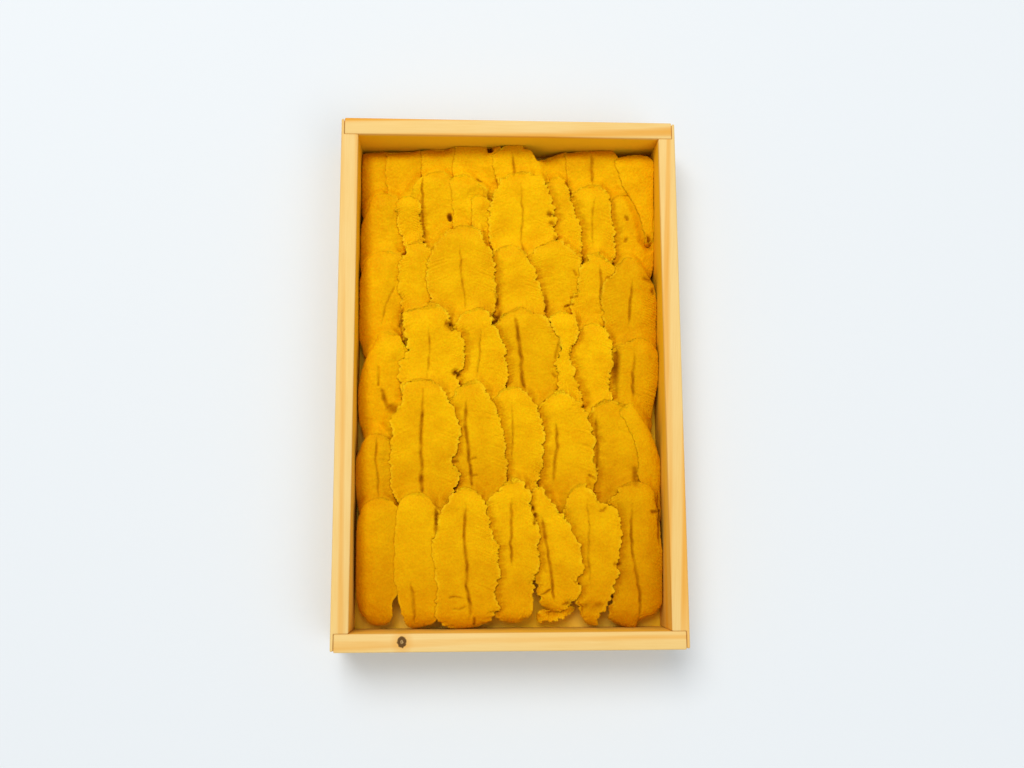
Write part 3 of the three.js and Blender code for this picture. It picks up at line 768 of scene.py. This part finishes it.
# %% Lobes along a margin
LOBE = 0.95  # mm from notch to notch
FRILL, FRILL_SMOOTH = 0.6, 0.2  # how deep the notches are
RIDGE, RIDGE_SMOOTH = 0.42, 0.1  # how high the ridges stand
LUMPS = ((8.0, 0.3), (3.2, 0.16), (1.5, 0.1))  # pitch and height of the back's unevenness
WAVER = ((9.0, 0.4), (3.1, 0.5), (1.3, 0.5), (0.7, 0.4))  # the same for the outline
SMOOTH_WAVER, WALL_FRILL = 0.4, 0.15  # how much of it a smooth margin or one at a wall keeps


def lobes(along, seed):
    """1 on the middle of a lobe, 0 in the notch between two."""
    wander = 0.9 * hills(along, 0 * along, 4.0, seed) + 0.4 * hills(along, 0 * along, 1.5, seed + 1)
    wave = np.abs(np.sin(math.pi * (along / LOBE + wander)))
    strong = 0.5 + 0.7 * hills(along, 0 * along, 2.6, seed + 2)
    return 1 - np.clip(strong, 0.08, 1) * (1 - wave)


print("lobes every", LOBE, "mm")


# %% [markdown]
# A tongue is a string of lobes folded along its middle, so most show a thin furrow, and
# handling leaves cracks, notches and small holes. They are drawn like pencil lines on
# the tray: each is a short path with a half-width and a depth, and every back that
# passes under a path is pressed in along it and painted darker there, as painted shade.

# %% Furrows, cracks and holes
HOLE_DEPTH = 2.3  # mm; what is deeper than this is a hole, with sharp sides
HOLE_POWER, CREASE_POWER = 4, 2
CREASE_STRAYS = 0.3  # mm that a path strays from its straight runs
PALEST, DARKER_BY_DEPTH, DARKEST = 0.3, 0.4, 1.3  # how dark the painted shade in a crease is, by its depth

# half-width and depth in mm, then the path
CREASES = [
    # the front row
    (0.42, 1.1, [(-15.3, -44), (-16, -55), (-14.9, -65), (-15, -72), (-13.5, -78), (-14, -84)]),
    (0.38, 0.9, [(0.5, -42), (0.6, -52), (0.3, -58), (0.9, -65)]),
    (0.4, 0.9, [(11, -48.6), (11.8, -54), (13.5, -62), (15, -73), (15.5, -78)]),
    (0.3, 0.5, [(26.8, -43), (27.6, -52), (27.3, -62), (28.4, -74)]),
    (0.4, 1.0, [(42.7, -44), (42.5, -58), (44.5, -70), (45.5, -76), (45.2, -84)]),
    (0.6, 0.6, [(-34, -71), (-33.2, -78), (-32.6, -85)]),
    (0.5, 1.5, [(-25.8, -43.6), (-25.3, -47.5), (-25.2, -51), (-25.4, -54.4)]),
    (0.3, 0.6, [(-21.5, -76), (-19, -75.6), (-15.5, -76.2)]),
    (0.3, 0.6, [(-20.5, -79.5), (-17.5, -79.8), (-14.5, -78.8)]),
    (0.4, 0.9, [(-12.4, -83), (-12.2, -85.5)]),
    (0.35, 1.0, [(10.4, -75.4), (12.4, -74.6), (15, -73)]),
    (0.5, 1.2, [(7.4, -44.6), (7.9, -46)]),
    (0.5, 1.2, [(8.6, -48), (8.8, -51)]),
    (0.4, 0.9, [(30.6, -46.8), (32.6, -46.4), (34, -45)]),
    (0.3, 0.7, [(22, -70.5), (23.6, -71.6), (25, -72)]),
    (0.5, 1.2, [(18, -78.8), (21, -78.2), (24, -78.6)]),
    (0.5, 1.1, [(38.6, -65), (36.6, -65.2)]),
    (0.6, 1.8, [(50, -46.8), (52.8, -46.6)]),
    (0.5, 1.5, [(52.4, -40), (52.3, -50), (52.6, -58)]),
    # the second row
    (0.32, 0.7, [(-46.3, -20), (-46.8, -29), (-46, -36), (-45.8, -42)]),
    (0.42, 1.1, [(-30.2, -4), (-31.2, -20), (-30.6, -32), (-30.4, -39.4)]),
    (0.42, 1.4, [(-30.6, -31), (-30.9, -34), (-30.7, -37), (-30.4, -40.6)]),
    (0.42, 1.2, [(-15.2, -8), (-15.4, -17), (-14.4, -25), (-13.9, -32)]),
    (0.42, 1.5, [(-14.1, -29), (-13.8, -32), (-13.4, -35), (-12.9, -38.2)]),
    (0.3, 0.8, [(-13.6, -34.2), (-11.4, -33.9)]),
    (0.3, 0.5, [(-14, -28.4), (-11.8, -27.8)]),
    (0.3, 0.5, [(0.8, -8), (1.2, -20), (0.8, -30)]),
    (0.42, 1.1, [(16.5, -15), (17, -24), (15.9, -30), (15.8, -37.6)]),
    (0.45, 0.8, [(30.6, -13), (31, -24), (30.6, -36)]),
    (0.5, 1.3, [(-18, -29), (-20, -29.3)]),
    (0.4, 1.1, [(28.6, -34), (30.4, -35)]),
    (0.9, 0.7, [(44.6, -32), (44.3, -37)]),
    # the third row
    (0.3, 0.5, [(-28.6, 19), (-28.4, 10), (-29, 0)]),
    (0.32, 0.7, [(-10, 18), (-10.4, 9), (-11.4, 0)]),
    (0.5, 1.6, [(1.8, 22.6), (2.6, 19), (3.7, 14), (4.3, 8), (4.8, 0), (5.8, -4)]),
    (0.4, 0.7, [(17.6, 14), (17.2, 10), (16.4, 6)]),
    (0.4, 0.9, [(15.6, 2), (16.6, 1.2)]),
    (0.4, 0.9, [(45, 11), (44.3, 0), (44.6, -7)]),
    (1.2, 1.8, [(-21.4, 19.2), (-20.6, 18.2)]),
    (0.9, 1.8, [(-19.2, 2.4), (-18.4, 2)]),
    # the fourth row
    (0.3, 0.55, [(-40.6, 35), (-43.6, 28), (-45.8, 20)]),
    (0.32, 0.7, [(-17.6, 48), (-17, 38), (-16, 30), (-15.5, 25.5)]),
    (0.5, 1.1, [(-4.1, 35), (-4.4, 30), (-4, 26)]),
    (0.4, 0.7, [(32.8, 42), (33.4, 34), (33, 26)]),
    (0.4, 0.8, [(44.6, 36), (44, 28), (43.2, 19)]),
    (0.4, 1.0, [(23.6, 39.5), (24.4, 38)]),
    (0.8, 1.5, [(-28, 27), (-27.2, 26.6)]),
    (0.7, 1.2, [(-38.2, 25), (-38.4, 19.5)]),
    (0.4, 1.2, [(20.6, 27), (23, 27.8)]),
    (0.35, 0.8, [(22.4, 30.2), (24.8, 30.6)]),
    (0.7, 1.6, [(52.3, 32.6), (52.6, 31.6)]),
    (0.9, 0.8, [(49.5, 36.8), (52.8, 35.8)]),
    # the fifth row
    (0.36, 0.7, [(-31.2, 75), (-31.4, 66), (-30.9, 57), (-30.4, 51.5)]),
    (0.3, 0.55, [(4.3, 72), (5, 62), (4.7, 52), (6, 44)]),
    (0.3, 0.5, [(31.5, 68), (30.4, 58), (30.8, 48)]),
    (0.8, 3.4, [(-21.4, 60.4), (-21.1, 59.4)]),
    (0.7, 1.4, [(14.8, 61.2), (15.4, 60.8)]),
    (0.6, 1.3, [(15.6, 57.6), (16.4, 57.2)]),
    (0.6, 1.2, [(16.9, 52.6), (17.1, 51.6)]),
    (0.6, 1.3, [(-11.3, 74.1), (-10.2, 73.4)]),
    (0.6, 0.9, [(43, 60.4), (43.4, 59.6)]),
    (0.6, 0.9, [(43.2, 52.4), (42.8, 51.6)]),
    (0.6, 1.3, [(51.6, 53.6), (52.6, 50.8)]),
    # wide hollows between the tongues
    (1.5, 2.2, [(-43, -9), (-41.4, -10.8), (-39, -11.4)]),
    (0.6, 1.3, [(-45.2, -3.4), (-44.5, -5.4), (-43.6, -8), (-42.2, -11)]),
    (0.4, 0.5, [(-46.3, 4), (-46.2, -2)]),
    (0.8, 1.8, [(-3.8, 24), (-4.1, 21.6)]),
    (0.6, 0.7, [(13.2, 32), (13.6, 28), (13.2, 23)]),
    (1.5, 0.7, [(24.5, -78.6), (29, -79.4), (33.4, -78.6)]),
    (1.1, 1.2, [(38.4, 12), (38.2, 4), (38.3, -5)]),
    # the back row
    (0.4, 0.9, [(1.4, 84), (2, 79), (2, 74.5)]),
    (0.45, 1.0, [(31.2, 85), (30.8, 79), (31.2, 72.5)]),
    (0.9, 2.4, [(-6.9, 86.2), (-6.6, 85.2)]),
]


def creases_at(x, y):
    """How deep the creases press in at each place, and how dark their painted shade is there."""
    deepest, crease_shade = 0 * x, 0 * x
    wander_x, wander_y = (CREASE_STRAYS * hills(x, y, 2.4, seed) for seed in (71, 72))
    for half, deep, path in CREASES:
        reach = 4 * half
        if any(here.min() - reach >= max(ways) or here.max() + reach <= min(ways)
               for here, ways in zip((x, y), zip(*path))):
            continue
        nearest = 0 * x + NOTHING
        last = len(path) - 2
        for part, ((ax, ay), (bx, by)) in enumerate(zip(path[:-1], path[1:])):
            px, py = x + wander_x - ax, y + wander_y - ay
            dx, dy = bx - ax, by - ay
            place = np.clip((px * dx + py * dy) / (dx * dx + dy * dy), 0, 1)
            from_end = np.minimum(part + place, last + 1 - part - place)
            taper = half * (1 - ease(from_end, 0, 0.5)) * (last > 0)
            nearest = np.minimum(nearest, np.hypot(px - place * dx, py - place * dy) + taper)
        nearest = np.hypot(nearest, 0.25 * half * hills(x, y, 1.7, 73) + 0.15 * half)
        power = HOLE_POWER if deep > HOLE_DEPTH else CREASE_POWER
        pressed = np.exp(-(nearest / half) ** power) * (0.8 + 0.35 * hills(x, y, 2.2, 74))
        deepest = np.maximum(deepest, deep * pressed)
        # painted shade, darker where a crease is deeper
        dark = min(PALEST + DARKER_BY_DEPTH * deep, DARKEST)
        crease_shade = np.maximum(crease_shade, dark * pressed / max(1, half) ** 0.7)
    return deepest, crease_shade


print(len(CREASES), "furrows, cracks and holes")


# %% A tongue's form as a net of rings and segments
SHORT_STRIDES = 0.12  # the share of the rings at each end that lie closer together


def net():
    """Each vertex's share along the tongue, share across it, and whether it is on the back."""
    step = (np.arange(RINGS) + 0.5) / RINGS
    stride = np.minimum(np.minimum(step, 1 - step) / SHORT_STRIDES, 1)
    share = (np.concatenate([[0], np.cumsum(stride)]) / stride.sum())[:, None]
    step = np.arange(SEGMENTS)[None, :]
    back = step < BACK_SEGMENTS
    turn = math.pi * step / BACK_SEGMENTS
    on_back = 1 - (0.5 * turn / math.pi + 0.25 * (1 - np.cos(turn)))
    turn = math.pi * (step - BACK_SEGMENTS) / (SEGMENTS - BACK_SEGMENTS)
    underneath = (1 - np.cos(turn)) / 2
    both = np.ones((RINGS + 1, SEGMENTS))
    return share * both, np.where(back, on_back, underneath) * both, back & (both > 0)


def bulge(out, power):
    return (1 - np.abs(out) ** power) ** (1 / power)


def pulled(name, line, plain, share):
    """How far each side's margin is pulled out by its points, left then right."""
    way = np.gradient(line, axis=0)
    way /= np.hypot(*way.T)[:, None]
    fine = np.linspace(0, 1, len(line))
    pulls = []
    for side in (-1, 1):
        knots = [(0.0, 0.0), (1.0, 0.0)]
        for point in MARGINS.get(name, []):
            to = np.array(point) - line
            nearest = np.hypot(*to.T).argmin()
            out = to[nearest, 1] * way[nearest, 0] - to[nearest, 0] * way[nearest, 1]
            if out * side > 0 and 0 < nearest < len(line) - 1:
                knots.append((fine[nearest], abs(out) - plain[nearest]))
        pull = np.interp(fine, *zip(*sorted(knots)))
        for _ in range(3):
            pull[1:-1] = (pull[:-2] + 2 * pull[1:-1] + pull[2:]) / 4
        pulls.append(np.interp(share, fine, pull))
    return pulls


FURROW_WIDTH, FURROW_SHARE = 1.7, 0.35  # mm, and how much of a furrow's depth is a soft dent
RIM_FADES = (0.1, 1.5)  # mm in from a margin, where the rim's paler roe and its painted highlight fade
UNDERSIDE_SHADE = 0.15  # an underside gets a little painted shade all over


def shape(name, row, tucked, drops, head, waist, tail, widths, lift,
          furrow=PLAIN, crown=None, thick=None):
    """The free form of one tongue, before anything presses on it, in mm."""
    crown = crown or ROWS[row][0]
    thick = thick or ROWS[row][1]
    seed = sum(ord(letter) * (i + 3) for i, letter in enumerate(name))
    share, across, back = net()
    long = math.dist(head, tail)
    from_head, from_tail = share * long, (1 - share) * long
    nose = (BACK_ROW_NOSE if row == "back" else NOSE_ROUND) * widths[0]
    ends = rounded(from_head, nose) * rounded(from_tail, TAIL_ROUND * widths[2])
    dip = DIP_ROUND * thick
    head_full = sloped(from_head, BACK_ROW_SLOPE if row == "back" else HEAD_SLOPE)
    full = head_full * rounded(from_tail, dip)
    width = through(widths, np.clip((share - SHOULDER) / (FOOT - SHOULDER), 0, 1))
    smooth = name in SMOOTH

    out = 2 * across - 1
    side = np.sign(out)
    half = width / 2 * ends
    fine = np.linspace(0, 1, 201)
    middle = np.stack([through([head[k], waist[k], tail[k]], fine) for k in (0, 1)], axis=-1)
    pulls = pulled(name, middle, np.interp(fine, share[:, 0], half[:, 0]), share)
    half = np.maximum(half + np.where(side < 0, pulls[0], pulls[1]), 0)
    slope = np.gradient(half, axis=0) / np.gradient(from_head, axis=0)
    slant = np.hypot(1, slope)
    outline = np.cumsum(slant * np.gradient(from_head, axis=0), axis=0) * side
    inward = (1 - np.abs(out)) * width / 2
    lobe = lobes(outline + 0.4 * side * inward, seed)
    margin = ease(np.abs(out), 0.5, 0.97)
    tip = ease(from_tail, 0, 1.5)
    waver = sum(deep * hills(outline, 0 * outline, pitch, seed + 5) for pitch, deep in WAVER)
    edge_drop = np.minimum(np.where(side < 0, drops[0], drops[1]), thick / 2)
    at_wall = edge_drop > EDGE_DROP
    line = [through([head[k], waist[k], tail[k]], share) for k in (0, 1)]
    from_middle = np.abs(line[0] + side * half)
    frilled = np.where(at_wall, WALL_FRILL, ease(from_middle, INNER_X - 0.5, INNER_X - 2.5))
    frill = FRILL_SMOOTH if smooth else FRILL
    grown = (waver * (SMOOTH_WAVER if smooth else 1) - frill * (1 - lobe)) * margin * tip * frilled
    under_neighbour = ease(share, 0.03, 0.2) * np.where(side < 0, tucked[0], tucked[1])
    if row == "front":
        under_neighbour = under_neighbour * ease(share, 0.84, 0.7)
    offset = out * (half + TUCK * under_neighbour * ends) + side * grown / slant

    nearby = 0.01
    step = [through([head[k], waist[k], tail[k]], share + nearby) - line[k] for k in (0, 1)]
    run = np.hypot(*step)
    backward = grown * slope / slant
    x = line[0] - (offset * step[1] + backward * step[0]) / run
    y = line[1] + (offset * step[0] - backward * step[1]) / run

    power = np.where(at_wall, WALL_POWER, BACK_POWER)
    top = RIM - (crown[0] + (crown[1] - crown[0]) * share) + lift
    head_drop = BACK_ROW_DROPS[int(name[-1]) - 1] if row == "back" else max(HEAD_DROP, edge_drop.min())
    edge = top - edge_drop - (head_drop - edge_drop) * (1 - head_full)
    edge = edge - (thick / 2 - edge_drop) * (1 - rounded(from_tail, dip))
    ridge = (RIDGE_SMOOTH if smooth else RIDGE) * (lobe - 0.7) * ease(np.abs(out), 0.1, 0.75) * ends
    uneven = sum(tall * hills(x, y, pitch, seed + 20 + i) for i, (pitch, tall) in enumerate(LUMPS))
    relief = ridge + uneven * ends * bulge(out, 2)
    on_top = edge + edge_drop * full * bulge(out, power) + relief
    within = (np.abs(out) * half) / np.maximum(half - BRIM, 0.1)
    deep = rounded(np.maximum(from_head - BRIM, 0), dip) * rounded(np.maximum(from_tail - BRIM, 0), dip)
    below = edge - 0.1 * full - (thick - edge_drop) * deep * bulge(np.clip(within, 0, 1), UNDER_POWER)
    below = np.where(np.abs(out) > 0.999, edge, below)
    z = np.where(back, on_top, below)

    trough = furrow[0] + (furrow[1] - furrow[0]) * share
    faded = ease(from_head, 1, 5) * ease(from_tail, 1, 6) * back
    dent = np.exp(-((across - trough) * width / FURROW_WIDTH) ** 2) * faded
    creased, dark = creases_at(x, y)
    creased = np.minimum(creased, np.maximum(on_top - below - SKIN, 0)) * back
    z = z - FURROW_SHARE * furrow[2] * dent
    # the rim mark: the margin's paler roe, and a painted highlight along it
    rim = 1 - ease((1 - np.abs(out)) * half, *RIM_FADES)
    rim = rim * (0.6 + 0.6 * hills(x, y, 2.0, 83)) * frilled * (FAINT if smooth else 1) * back
    # painted shade, deeper towards the tail
    tail_shade = TAIL_SHADE[row] * ease(share, 0.3, 0.8)
    marks = np.stack([rim, np.where(back, dark, UNDERSIDE_SHADE), 0 * z, tail_shade], axis=-1)
    side_step = SIDE_STEP * (SMOOTH_SHARE if smooth else 1) * np.where(side < 0, LEFT_SHARE, 1)
    below_margin = HEAD_STEP + (side_step - HEAD_STEP) * ease(from_head, 1, 7)
    if name in MELTED or row == "back":
        below_margin = MELTED_STEP + 0 * below_margin
    return x, y, z, back, creased, below_margin, marks


print("a net of", RINGS, "rings and", SEGMENTS, "segments")

# %% [markdown]
# ## Laying the tongues
#
# Roe is soft: where one tongue lies on another, the lower one gives way, and beside the
# upper one's margin it swells up or sinks until the two are nearly level. We lay the
# tongues from the topmost down, and keep a map of the undersides of all that lie there
# already. Each next tongue is pressed in to just below that map. The map is also grown
# outward by a few millimetres, cell by cell, so that a tongue feels the margins near it.

# %% A map of undersides
CELL = 0.25  # mm
FRAME_CELLS = 8
CELLS = [int(2 * v / CELL) + 2 * FRAME_CELLS for v in (INNER_X, INNER_Y)]
undersides = np.full(CELLS, NOTHING)
shades = np.zeros(CELLS)  # how strong the shade beside each tongue is


def cell_of(x, y):
    i = np.clip(np.round((x + INNER_X) / CELL).astype(int) + FRAME_CELLS, 0, CELLS[0] - 1)
    j = np.clip(np.round((y + INNER_Y) / CELL).astype(int) + FRAME_CELLS, 0, CELLS[1] - 1)
    return i, j


def grown_outward(reach):
    """Both maps spread beyond the margins, and how far each cell is from one, in mm."""
    spread = [undersides.copy(), shades.copy()]
    known = undersides < NOTHING
    away = np.where(known, 0.0, NOTHING)
    for ring in range(int(reach / CELL)):
        total, count = [np.zeros(CELLS), np.zeros(CELLS)], np.zeros(CELLS)
        for axis, step in ((0, 1), (0, -1), (1, 1), (1, -1)):
            beside = np.roll(known, step, axis)
            total = [t + np.where(beside, np.roll(m, step, axis), 0) for t, m in zip(total, spread)]
            count += beside
        fresh = ~known & (count > 0)
        for values, sums in zip(spread, total):
            values[fresh] = sums[fresh] / count[fresh]
        away[fresh] = (ring + 1) * CELL
        known = known | fresh
    return *spread, away


print("map of undersides:", CELLS[0], "x", CELLS[1], "cells of", CELL, "mm")

# %% Pressing a tongue in under the ones on it
CLEAR = 0.08  # left between two tongues, or a tongue and a board
FEELS = 4.0  # mm, how far from a margin it still gives way
SWELL = 3.4  # the most it may swell up
SOFTENINGS = 4  # times that the swelling is evened out
LEEWARD = (0.77, -0.64)  # away from the window
SHADE_REACH = (0.6, 2.8)  # mm from a margin, where the shade beside it starts to fade and ends
WALL_SHADE_REACH = (1.8, 5.5)  # the same for the two boards on the window's side


def softened(values, times):
    for _ in range(times):
        values = (np.roll(values, 1, 1) + 2 * values + np.roll(values, -1, 1)) / 4
        padded = np.pad(values, ((1, 1), (0, 0)), mode="edge")
        values = (padded[:-2] + 2 * values + padded[2:]) / 4
    return values


def press(x, y, z, back, creased):
    level, shade, away = grown_outward(FEELS)
    cell = cell_of(x, y)
    limit = undersides[cell] - CLEAR
    covered = limit < NOTHING / 2
    felt = 1 - ease(away[cell], 0, FEELS)
    moved = np.clip(level[cell] - z, -NOTHING, SWELL) * felt * (away[cell] > 0)
    beside = np.where(covered, 0.0, 1.0)
    moved = softened(moved * beside, SOFTENINGS) / np.maximum(softened(beside, SOFTENINGS), 0.001)
    top = np.where(covered, np.minimum(z + moved, limit), z + moved - creased)
    under = np.minimum(z, limit - SKIN)
    x = np.clip(x, CLEAR - INNER_X, INNER_X - CLEAR)
    y = np.clip(y, CLEAR - INNER_Y, INNER_Y - CLEAR)
    lowest = FLOOR_BOARD + CLEAR
    z = np.where(back, np.maximum(top, lowest + SKIN), np.maximum(under, lowest))
    lee = np.gradient(np.minimum(away, FEELS))
    lee = (LEEWARD[0] * lee[0] + LEEWARD[1] * lee[1]) / np.maximum(np.hypot(*lee), 0.001)
    uneven = 1 + 0.4 * hills(x, y, 1.6, 81)
    shaded = (1 - ease(away[cell] * uneven, *SHADE_REACH)) * ease(lee[cell], -0.6, 0.8)
    shaded = np.maximum(shaded * shade[cell], 1 - ease(x + INNER_X, *WALL_SHADE_REACH))
    shaded = np.maximum(shaded, 1 - ease(INNER_Y - y, *WALL_SHADE_REACH))
    return x, y, z, shaded * back


def remember(x, y, z, shade):
    """Put a laid tongue's underside on the map, between its vertices too."""
    nx, ny, nz = (np.roll(v, -1, 1) for v in (x, y, z))
    parts = 4  # steps between vertices; on the widest tongues a few cells are still missed
    for a in np.arange(parts) / parts:
        rx, ry, rz = x + (nx - x) * a, y + (ny - y) * a, z + (nz - z) * a
        for b in np.arange(parts) / parts:
            px, py, pz = (v[:-1] + (v[1:] - v[:-1]) * b for v in (rx, ry, rz))
            np.minimum.at(undersides, cell_of(px, py), pz)
            shades[cell_of(px, py)] = shade


print("a margin is felt within", FEELS, "mm")


# %% From the net to a mesh
BALL = 5 * MM  # the radius of the sphere that a tongue starts as


def sphere_at(x, y, z):
    select_only()
    middle = [float(v.mean()) * MM for v in (x, y, z)]
    bpy.ops.mesh.primitive_uv_sphere_add(segments=SEGMENTS, ring_count=RINGS, radius=BALL, location=middle)
    piece = bpy.context.object
    bpy.ops.object.transform_apply(location=True, rotation=True, scale=True)
    return piece, np.array(middle)


def sculpt(piece, middle, x, y, z, marks):
    """Move each vertex of the sphere to its place on the net, and mark it."""
    mesh = piece.data
    ball = np.empty(len(mesh.vertices) * 3)
    mesh.vertices.foreach_get("co", ball)
    ball = (ball.reshape(-1, 3) - middle) / BALL
    ring = np.round(np.arccos(np.clip(ball[:, 2], -1, 1)) / math.pi * RINGS).astype(int)
    turns = np.arctan2(-ball[:, 1], ball[:, 0]) / (2 * math.pi)
    segment = np.round(turns * SEGMENTS).astype(int) % SEGMENTS
    placed = np.stack([x, y, z], axis=-1)[ring, segment] * MM
    mesh.vertices.foreach_set("co", placed.ravel())
    colours = np.clip(marks[ring, segment], 0, 1)
    layer = mesh.color_attributes.new("marks", "FLOAT_COLOR", "POINT")
    layer.data.foreach_set("color", colours.ravel())
    mesh.update()


def upward(piece):
    """Whether the highest face of a piece points up, as it should."""
    return max(piece.data.polygons, key=lambda face: face.center.z).normal.z > 0


def clouds(name, size):
    texture = bpy.data.textures.new(name, "CLOUDS")
    texture.noise_scale = size * MM
    texture.noise_depth = 1
    return texture


GRAINS = ((clouds("grain", 1.0), 0.26), (clouds("fine grain", 0.55), 0.27))  # and heights, mm
GRAIN_LEVEL = 0.6  # the grey of the clouds that moves nothing
print("grain of", [round(texture.noise_scale / MM, 2) for texture, _ in GRAINS], "mm")

# %% Laying all of them
RIM_SHEDS = 0.4  # how much of the painted shade over a tongue its rim's painted highlight takes away


def neighbour_lifts(row, index):
    """The lifts of the tongues to the left and right, None where a wall is."""
    lifts = [(i, tongue[LIFT]) for i, tongue in enumerate(TONGUES[row]) if f"{row}_{i + 1}" not in ASIDE]
    left = [lift for i, lift in lifts if i < index]
    right = [lift for i, lift in lifts if i > index]
    return [left[-1] if left else None, right[0] if right else None]


for row, rows_tongues in TONGUES.items():
    order = sorted(range(len(rows_tongues)), key=lambda i: -rows_tongues[i][LIFT])
    for index in order:
        name = f"{row}_{index + 1}"
        beside = [None, None] if name in ASIDE else neighbour_lifts(row, index)
        tucked = [lift is not None and lift > rows_tongues[index][LIFT] for lift in beside]
        drops = [WALL_DROP if lift is None and name not in ASIDE else EDGE_DROP for lift in beside]
        form = shape(name, row, tucked, drops, *rows_tongues[index])
        x, y, z, back, creased, below_margin, marks = form
        x, y, z, shaded = press(x, y, z, back, creased)
        remember(x, y, z - below_margin, FAINT if name in SMOOTH else 1)
        marks[..., 2] = shaded
        marks[..., 3] = (marks[..., 3] + TONGUE_SHADE[row][index]) * (1 - RIM_SHEDS * marks[..., 0])
        piece, middle = sphere_at(x, y, z)
        sculpt(piece, middle, x, y, z, marks)
        for texture, tall in GRAINS:
            apply_modifier(piece, "DISPLACE", texture=texture, texture_coords="LOCAL",
                           strength=tall * MM, mid_level=GRAIN_LEVEL)
        select_only(piece)
        bpy.ops.object.shade_smooth()
        # roe_deep: the finish with more painted shade, for the right-hand column
        slot = "roe_deep" if rows_tongues[index][0][0] > SHADED_FROM else "roe"
        piece.data.materials.append(ROE_FINISH[slot])
        settle(piece, "tongue_" + name)
        if not upward(piece):
            print(name, "is inside out")
    print(row, "row laid:", len(rows_tongues), "tongues")
